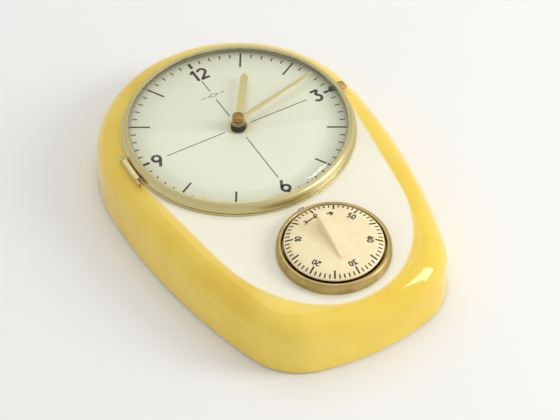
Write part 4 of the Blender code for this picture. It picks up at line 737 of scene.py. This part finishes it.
def make_dial(dial, metal):
    """The dial plate, its printing, and the washer at its centre."""
    turned(
        "dial_face", tube(dial.dial_hole, across("dial_plate"), *levels("dial_plate")), CLOCK,
        dial_enamel(dial), "case", "printed_dial", "dial_plate", corner=0.1 * MM,
    )
    work = bmesh.new()
    for minute in range(60):
        if minute % 15 == 0:
            inner, outer, weight = dial.quarter_inner, dial.track_outer, dial.numeral_weight
        elif minute % 5 == 0:
            inner, outer, weight = dial.hour_inner, dial.hour_outer, dial.long_weight
        else:
            inner, outer, weight = dial.track_inner, dial.track_outer, dial.short_weight
        ends = [clockwise(CLOCK, radius, math.radians(6 * minute)) for radius in (inner, outer)]
        bar(work, *ends, weight, DIAL_TOP)
    for quarters, (text, shift) in enumerate(DIAL_NUMERALS):
        at = clockwise(CLOCK, dial.numeral_radius, quarters * math.pi / 2) + Vector(shift) * MM
        write(work, text, at, dial.numeral_height, dial.numeral_weight, DIAL_TOP)
    for start, end in CROSS:
        bar(work, CLOCK + Vector(start) * MM, CLOCK + Vector(end) * MM, dial.hairline, DIAL_TOP)
    make_ornament(work, dial.ornament_weight)
    piece("dial_print", work, printing_ink("dial_ink", dial.ink), "case", "printed_dial")
    section = tube(dial.washer_hole, across("dial_center_washer"), *levels("dial_center_washer"))
    turned(
        "center_washer", section, CLOCK,
        turned_metal("washer_brass", metal.brass, metal.dark_brass, 0.25, CLOCK), "case", "brass_bezel",
        "dial_center_washer", corner=0.15 * MM, steps=SMALL_STEPS,
    )


def make_ornament(work, weight):
    """A plain lozenge with a short dash on each side, between the two upper hairlines."""
    centre = CLOCK + Vector(ORNAMENT_PLACE) * MM
    outline(work, [centre + Vector(offset) * MM for offset in ORNAMENT_CORNERS], weight, DIAL_TOP)
    for side in (-1, 1):
        ends = [centre + Vector((side * reach * MM, 0.0)) for reach in ORNAMENT_DASH]
        bar(work, *ends, weight, DIAL_TOP)


def make_hand(node, body, material, turned_by, reach, boss, bore, root, broad, point, tip):
    """A stamped hand: a round boss and a tapering blade that is pressed to a ridge along its middle. The
    blade is as wide as its root at the boss and broadest where its point starts. Sizes are millimetres."""
    low, high = levels(node)
    flat_top = high - 0.15 * MM
    work = bmesh.new()
    for vert in bmesh.ops.create_cube(work, size=1.0)["verts"]:
        far = vert.co.y > 0
        vert.co.x = math.copysign((broad if far else root) / 2 * MM, vert.co.x)
        vert.co.y = (reach - point if far else boss * 0.8) * MM
        vert.co.z = flat_top if vert.co.z > 0 else low
    end_face = max(work.faces, key=lambda face: face.calc_center_median().y)
    pulled = bmesh.ops.extrude_face_region(work, geom=[end_face])["geom"]
    bmesh.ops.delete(work, geom=[end_face], context="FACES_ONLY")
    for vert in (item for item in pulled if isinstance(item, bmesh.types.BMVert)):
        vert.co.x = math.copysign(tip / 2 * MM, vert.co.x)
        vert.co.y = reach * MM
    bmesh.ops.bisect_plane(
        work, geom=work.verts[:] + work.edges[:] + work.faces[:], plane_co=(0, 0, 0), plane_no=(1, 0, 0),
        dist=SAME_PLACE,
    )
    for vert in work.verts:
        if abs(vert.co.x) < 10 * SAME_PLACE and vert.co.z > (low + flat_top) / 2:
            vert.co.z = high
    bmesh.ops.recalc_face_normals(work, faces=work.faces)
    matrix = Matrix.Translation((*CLOCK, 0.0)) @ Matrix.Rotation(-turned_by, 4, "Z")
    bmesh.ops.transform(work, matrix=matrix, verts=work.verts)
    turn(work, tube(bore * MM, boss * MM, low, high), CLOCK, SMALL_STEPS)
    return piece(node + "_blade", work, material, body, "brass_hands", node)


def make_hands(metal):
    """Both gilt hands and the turned nut that holds them."""
    gilt = turned_metal("matt_gilt", metal.gilt, metal.dark_brass, 0.36, CLOCK, patch_share=0.2)
    make_hand(
        "hour_hand", "hour_pipe", gilt, turned_by=math.radians(34.3), reach=44.0, boss=4.6, bore=2.9,
        root=3.7, broad=4.8, point=3.2, tip=0.8,
    )
    make_hand(
        "minute_hand", "minute_arbor", gilt, turned_by=math.radians(76.5), reach=63.3, boss=4.2, bore=2.0,
        root=2.9, broad=1.9, point=3.0, tip=0.6,
    )
    bottom, top = levels("hand_nut")
    radius, bore, depth = across("hand_nut"), 1.2 * MM, 0.8 * MM
    profile = [
        (0.0, top), (radius - 0.5 * MM, top), (radius, top - 0.4 * MM), (radius, bottom), (bore, bottom),
        (bore, top - depth), (0.0, top - depth),
    ]
    amber = turned_metal("amber_lacquer", metal.amber, metal.dark_brass, 0.22, CLOCK, line=0.3 * MM)
    turned(
        "hand_nut_fine", profile, CLOCK, amber, "minute_arbor", "brass_nut", "hand_nut", corner=0.12 * MM,
        steps=SMALL_STEPS,
    )


# ---------------------------------------------------------------- bezel and glass

def glass_curve(radius, level, rise, fullness, steps=28):
    """A dome's section from its top out to its foot: flat in the middle and steep at the edge."""
    points = []
    for i in range(steps + 1):
        t = math.pi / 2 * i / steps
        points.append((
            radius * math.sin(t) ** (2 / fullness),
            level + rise * max(math.cos(t), 0.0) ** (2 / fullness),
        ))
    points[0] = (0.0, level + rise)
    points[-1] = (radius, level)
    return points


def make_bezel(metal):
    """The base ring on the case, the hinged bezel, its domed glass and the ring that retains it."""
    brass = turned_metal("lacquered_brass", metal.brass, metal.dark_brass, 0.3, CLOCK, patch_share=0.18)
    corner, clear = 0.3 * MM, 0.5 * MM
    section = tube(across("dial_plate") + GAP, across("bezel_base_ring"), *levels("bezel_base_ring"))
    turned("base_ring", section, CLOCK, brass, "case", "brass_bezel", "bezel_base_ring", corner=corner)
    low, high = levels("bezel_ring")
    outer, wall = across("bezel_ring"), metal.bezel_wall
    crown = outer - metal.bezel_lean
    opening = crown - metal.lip_width
    edge = high - metal.lip_drop
    seat = levels("glass_retaining_ring")[1] + 2 * GAP + metal.glass_thickness
    section = [
        (opening + corner, high), (crown - clear, edge + 0.3 * MM), (crown, edge - 0.2 * MM), (outer, low),
        (outer - wall, low), (crown - wall, seat), (opening, seat), (opening, high - 0.4 * MM),
    ]
    turned("bezel_rim", section, CLOCK, brass, "bezel", "brass_bezel", "bezel_ring", corner=corner)
    bottom, top = levels("clock_glass")
    foot, rim = bottom + metal.glass_thickness, across("clock_glass")
    reach, rise = opening - clear, top - foot
    upper = glass_curve(reach, foot, rise, metal.glass_fullness)
    lower = glass_curve(reach - metal.glass_thickness / 2, bottom, rise, metal.glass_fullness)
    work = bmesh.new()
    turn(work, upper + [(rim, foot), (rim, bottom)] + lower[::-1], CLOCK)
    piece("domed_glass", work, clear_glass(), "bezel", "clear_glass", "clock_glass")
    rim = across("glass_retaining_ring")
    section = tube(rim - metal.retainer_width, rim, *levels("glass_retaining_ring"))
    # Painted shade: the retaining ring's brass is mixed in patches with a dark brown that stands for the
    # shade inside the bezel.
    painted_shade_brass = turned_metal("shaded_brass", metal.dark_brass, metal.shade, 0.45, CLOCK)
    turned("retaining_ring", section, CLOCK, painted_shade_brass, "bezel", "brass_bezel", "glass_retaining_ring")
    low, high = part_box("bezel_catch_tab")
    size, at = high - low, (high + low) / 2
    work = bmesh.new()
    bmesh.ops.create_cube(work, size=1.0, matrix=Matrix.Translation(at) @ Matrix.Diagonal((*size, 1.0)))
    uprights = [e for e in work.edges if abs(e.verts[0].co.z - e.verts[1].co.z) > size.z / 2
                and e.verts[0].co.x > at.x]
    bmesh.ops.bevel(
        work, geom=uprights, offset=metal.tab_corner, segments=8, profile=0.5, affect="EDGES", material=-1
    )
    soften(work, 0.2 * MM)
    worn = turned_metal("worn_brass", metal.dark_brass, metal.tarnish, 0.4, CLOCK, patch_share=0.6)
    piece("lifting_tab", work, worn, "bezel", "brass_bezel", "bezel_catch_tab")
    for node in ("hinge_leaf_case", "hinge_leaf_bezel"):
        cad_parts[node].data.materials[0] = brass


# ---------------------------------------------------------------- timer

def make_timer(knob, metal):
    """The brass ring, and the moulded knob with its printed scale."""
    low, high = levels("timer_ring")
    outer, lip, edge = across("timer_ring"), 0.6 * MM, 0.2 * MM
    opening = outer - knob.ring_width
    ring = [(opening, high - lip), (opening + lip, high)]
    # The shoulder rolls over from the top to the outer edge.
    fall, spread, squareness, steps = high - edge - low, knob.ring_width - 1.4 * MM, 0.75, 8
    for i in range(steps + 1):
        t = math.pi / 2 * i / steps
        ring.append((outer - spread * (1 - math.sin(t)), low + edge + fall * math.cos(t) ** squareness))
    floor = low + knob.ring_floor
    ring += [(outer, low), (knob.ring_hole, low), (knob.ring_hole, floor), (opening, floor)]
    aged = turned_metal("aged_brass", metal.dark_brass, metal.tarnish, 0.34, TIMER, patch_share=0.6)
    turned("timer_bezel", ring, TIMER, aged, "case", "brass_timer_ring", "timer_ring", corner=0.45 * MM)
    make_knob(knob)
    make_scale(knob)


def knob_top(knob):
    """The height of the knob's flat top."""
    return levels("timer_knob")[1] - knob.grip_rise


def make_knob(knob):
    """The knob: a flat top, a scale that slopes down to an overhanging rim, and a wedge-shaped grip."""
    top, radius, nose = knob_top(knob), across("timer_knob"), 0.5 * MM
    under, edge = top - knob.thickness, top - knob.scale_drop
    flat, skirt, rim = radius - knob.scale_width, radius - knob.overhang, edge - knob.rim
    hub_end, bore_end = under - knob.hub_drop, under + knob.bore_rise
    disc = [
        (0.0, top), (flat, top), (radius - nose, edge), (radius, edge - nose), (radius, rim), (skirt, rim),
        (skirt, under), (knob.hub, under), (knob.hub, hub_end), (knob.bore, hub_end), (knob.bore, bore_end),
        (0.0, bore_end),
    ]
    body = turned(
        "knob_moulding", disc, TIMER, moulded_plastic(knob), "timer_knob", "cream_knob", "timer_knob",
        corner=0.25 * MM,
    )
    work = bmesh.new()
    for vert in bmesh.ops.create_cube(work, size=1.0)["verts"]:
        at_tip, upper = vert.co.y > 0, vert.co.z > 0
        width = knob.grip_tip_width if at_tip else knob.grip_back_width
        rise = knob.grip_rise if at_tip else knob.grip_back_rise
        vert.co.x = TIMER.x + math.copysign(width / 2, vert.co.x)
        vert.co.y = TIMER.y + (knob.grip_tip if at_tip else -knob.grip_back)
        vert.co.z = top + (rise if upper else -knob.thickness / 2)
    # Cut across its length, so that both flanks can be drawn in a little.
    back, grip_length, slices = TIMER.y - knob.grip_back, knob.grip_tip + knob.grip_back, 12
    for i in range(1, slices):
        bmesh.ops.bisect_plane(
            work, geom=work.verts[:] + work.edges[:] + work.faces[:], dist=SAME_PLACE, plane_no=(0, 1, 0),
            plane_co=(0, back + grip_length * i / slices, 0),
        )
    for vert in work.verts:
        pinch = 1.0 - knob.grip_pinch * math.sin(math.pi * (vert.co.y - back) / grip_length)
        vert.co.x = TIMER.x + (vert.co.x - TIMER.x) * pinch
    soften(work, knob.grip_round, segments=5, fold=math.radians(40))
    bmesh.ops.recalc_face_normals(work, faces=work.faces)
    grip = add_object("grip", finished("grip", work))
    union = body.modifiers.new("join grip", "BOOLEAN")
    union.operation = "UNION"
    union.object = grip
    graph = bpy.context.evaluated_depsgraph_get()
    joined = bpy.data.meshes.new_from_object(body.evaluated_get(graph))
    body.modifiers.clear()
    body.data = joined
    bpy.data.objects.remove(grip)
    smooth(joined)


# The arrow's shaft as a starting angle and a sweep in degrees, and its head and tail as degrees clockwise
# from the top, with the ends of two barbs in millimetres from there.
ARROW_SHAFT = (109, -47)
ARROW_ENDS = ((29, ((-1.6, 1.9), (-2.3, -0.6))), (-19, ((-1.5, 1.5), (-2.0, -1.2))))


def make_scale(knob):
    """Sixty marks on the slope, the numbers 0 to 50 against the turn of the clock, and an arrow that says
    which way to wind."""
    work = bmesh.new()
    top, radius = knob_top(knob), across("timer_knob")
    slope = math.atan2(knob.scale_drop, knob.scale_width - 0.5 * MM)
    # Each mark is laid on the slope with its outer end just inside the rim, then turned to its minute.
    out = radius - knob.mark_margin
    level = top - (knob.scale_width - knob.mark_margin) * math.tan(slope)
    laid = Matrix.Translation((out, 0.0, level)) @ Matrix.Rotation(slope, 4, "Y")
    for minute in range(60):
        short = minute % 5 > 0
        reach = knob.short_mark if short else knob.long_mark
        weight = knob.short_weight if short else knob.long_weight
        start = len(work.verts)
        bar(work, (-reach, 0.0), (0.0, 0.0), weight, 0.0)
        turned_by = Matrix.Rotation(math.pi / 2 - math.radians(6 * minute), 4, "Z")
        work.verts.ensure_lookup_table()
        bmesh.ops.transform(
            work, matrix=Matrix.Translation((*TIMER, 0.0)) @ turned_by @ laid, verts=work.verts[start:]
        )
    for minutes in range(0, 60, 10):
        turn_from_top = -math.radians(6 * minutes)
        at = clockwise(TIMER, knob.number_radius, turn_from_top)
        write(work, str(minutes), at, knob.number_height, knob.number_weight, top, -turn_from_top)
    bend(work, TIMER, knob.arrow_radius, *ARROW_SHAFT, knob.number_weight, top)
    for turn_from_top, barbs in ARROW_ENDS:
        end = clockwise(TIMER, knob.arrow_radius, math.radians(turn_from_top))
        for barb in barbs:
            bar(work, end, end + Vector(barb) * MM, knob.number_weight, top)
    return piece("knob_scale", work, printing_ink("scale_ink", knob.ink), "timer_knob", "cream_knob")


# ---------------------------------------------------------------- works and stage

def finish_works(metal):
    """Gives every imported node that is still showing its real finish, by the record's slot."""
    brass = turned_metal("aged_fittings", metal.brass, metal.dark_brass, 0.32, CLOCK)
    finishes = {
        "plate_brass": plain_metal("rolled_brass", metal.plate, 0.28),
        "bright_steel": plain_metal("turned_steel", metal.steel, 0.26, 1.5 * MM),
        "spring_steel": plain_metal("blued_spring_steel", metal.blued, 0.25),
        "black_steel": plain_metal("blackened_steel", metal.black, 0.38),
        "painted_steel": stove_enamel("stove_enamel", metal.enamel),
        "rubber": rubber(),
        "brass_bezel": brass,
        "brass_timer_ring": brass,
        "brass_nut": brass,
    }
    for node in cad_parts.values():
        slot = node.data.materials[0].name.split(".")[0]
        if not node.hide_render and slot in finishes:
            node.data.materials[0] = finishes[slot]


# The lights' names, places, sizes and aim, and the camera's place and two of its axes, in metres.
LIGHTS = (
    ("window", (1.05, -0.72, 0.72), (0.5, 0.75)),
    ("ceiling", (0.25, 0.6, 1.5), (1.2, 1.2)),
)
LIT_POINT = (0.0, 0.0, 0.02)
CAMERA_PLACE = (-0.35898, -0.65492, 0.80805)
CAMERA_RIGHT = Vector((0.86838, -0.49584, -0.00738))
CAMERA_UP = Vector((0.36854, 0.63533, 0.67863))


def make_stage(stage):
    """A plain pale floor, a window-like light from the lower right, a soft light above, and the camera."""
    scene = bpy.context.scene
    work = bmesh.new()
    bmesh.ops.create_grid(work, x_segments=1, y_segments=1, size=stage.floor_size)
    floor = add_object("floor", finished("floor", work))
    paper, _, shader, _ = new_material("matt_paper")
    connect(shader, {"Base Color": stage.floor, "Roughness": 0.9})
    floor.data.materials.append(paper)
    world = bpy.data.worlds.new("studio")
    world.use_nodes = True
    connect(world.node_tree.nodes["Background"], [(1.0, 1.0, 1.0, 1.0), stage.sky])
    scene.world = world
    for (name, at, size), power in zip(LIGHTS, (stage.window_power, stage.ceiling_power)):
        lamp = bpy.data.lights.new(name, "AREA")
        lamp.shape = "RECTANGLE"
        lamp.size, lamp.size_y = size
        lamp.energy = power
        light = add_object(name, lamp)
        light.location = at
        light.rotation_euler = (Vector(LIT_POINT) - light.location).to_track_quat("-Z", "Y").to_euler()
    camera = add_object("camera", bpy.data.cameras.new("camera"))
    camera.data.lens = stage.lens
    camera.data.sensor_width = 36.0
    camera.data.clip_start = 0.01
    turned_to = Matrix((CAMERA_RIGHT, CAMERA_UP, CAMERA_RIGHT.cross(CAMERA_UP))).transposed().to_4x4()
    camera.matrix_world = Matrix.Translation(CAMERA_PLACE) @ turned_to
    scene.camera = camera
    scene.view_settings.view_transform = "Standard"


# ---------------------------------------------------------------- operators, panel and start

class KITCHENCLOCK_OT_case(Operator):
    """Make the glazed case and the timer's index mark"""
    bl_idname = "kitchenclock.case"
    bl_label = "Glazed Case"

    def execute(self, context):
        make_case(context.scene.clock_case)
        make_index_mark(context.scene.clock_case)
        return {"FINISHED"}


class KITCHENCLOCK_OT_dial(Operator):
    """Make the dial and its printing"""
    bl_idname = "kitchenclock.dial"
    bl_label = "Dial"

    def execute(self, context):
        make_dial(context.scene.clock_dial, context.scene.clock_metal)
        return {"FINISHED"}


class KITCHENCLOCK_OT_hands(Operator):
    """Make the hands and their nut"""
    bl_idname = "kitchenclock.hands"
    bl_label = "Hands"

    def execute(self, context):
        make_hands(context.scene.clock_metal)
        return {"FINISHED"}


class KITCHENCLOCK_OT_bezel(Operator):
    """Make the hinged bezel and its glass"""
    bl_idname = "kitchenclock.bezel"
    bl_label = "Bezel and Glass"

    def execute(self, context):
        make_bezel(context.scene.clock_metal)
        return {"FINISHED"}


class KITCHENCLOCK_OT_timer(Operator):
    """Make the timer's ring, knob and scale"""
    bl_idname = "kitchenclock.timer"
    bl_label = "Timer Knob"

    def execute(self, context):
        make_timer(context.scene.clock_knob, context.scene.clock_metal)
        return {"FINISHED"}


class KITCHENCLOCK_OT_works(Operator):
    """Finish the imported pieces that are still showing"""
    bl_idname = "kitchenclock.works"
    bl_label = "Works"

    def execute(self, context):
        finish_works(context.scene.clock_metal)
        return {"FINISHED"}


class KITCHENCLOCK_OT_stage(Operator):
    """Make the floor, the lights and the camera"""
    bl_idname = "kitchenclock.stage"
    bl_label = "Stage"

    def execute(self, context):
        make_stage(context.scene.clock_stage)
        return {"FINISHED"}


OPERATORS = (
    KITCHENCLOCK_OT_case, KITCHENCLOCK_OT_dial, KITCHENCLOCK_OT_hands, KITCHENCLOCK_OT_bezel,
    KITCHENCLOCK_OT_timer, KITCHENCLOCK_OT_works, KITCHENCLOCK_OT_stage,
)
SETTINGS = {
    "clock_case": ClockCaseSettings, "clock_dial": ClockDialSettings, "clock_metal": ClockMetalSettings,
    "clock_knob": ClockKnobSettings, "clock_stage": ClockStageSettings,
}


class KITCHENCLOCK_PT_panel(Panel):
    """Lists the pieces in the sidebar"""
    bl_idname = "KITCHENCLOCK_PT_panel"
    bl_label = "Kitchen Clock"
    bl_space_type = "VIEW_3D"
    bl_region_type = "UI"
    bl_category = "Kitchen Clock"

    def draw(self, context):
        for operator in OPERATORS:
            self.layout.operator(operator.bl_idname)


def register():
    for item in (*SETTINGS.values(), *OPERATORS, KITCHENCLOCK_PT_panel):
        bpy.utils.register_class(item)
    for name, group in SETTINGS.items():
        setattr(bpy.types.Scene, name, PointerProperty(type=group))


def unregister():
    for name in SETTINGS:
        delattr(bpy.types.Scene, name)
    for item in (KITCHENCLOCK_PT_panel, *reversed(OPERATORS), *SETTINGS.values()):
        bpy.utils.unregister_class(item)


def main():
    """Makes every piece round the frame."""
    register()
    bpy.ops.kitchenclock.case()
    bpy.ops.kitchenclock.dial()
    bpy.ops.kitchenclock.hands()
    bpy.ops.kitchenclock.bezel()
    bpy.ops.kitchenclock.timer()
    bpy.ops.kitchenclock.works()
    bpy.ops.kitchenclock.stage()
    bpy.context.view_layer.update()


if __name__ == "__main__":
    main()
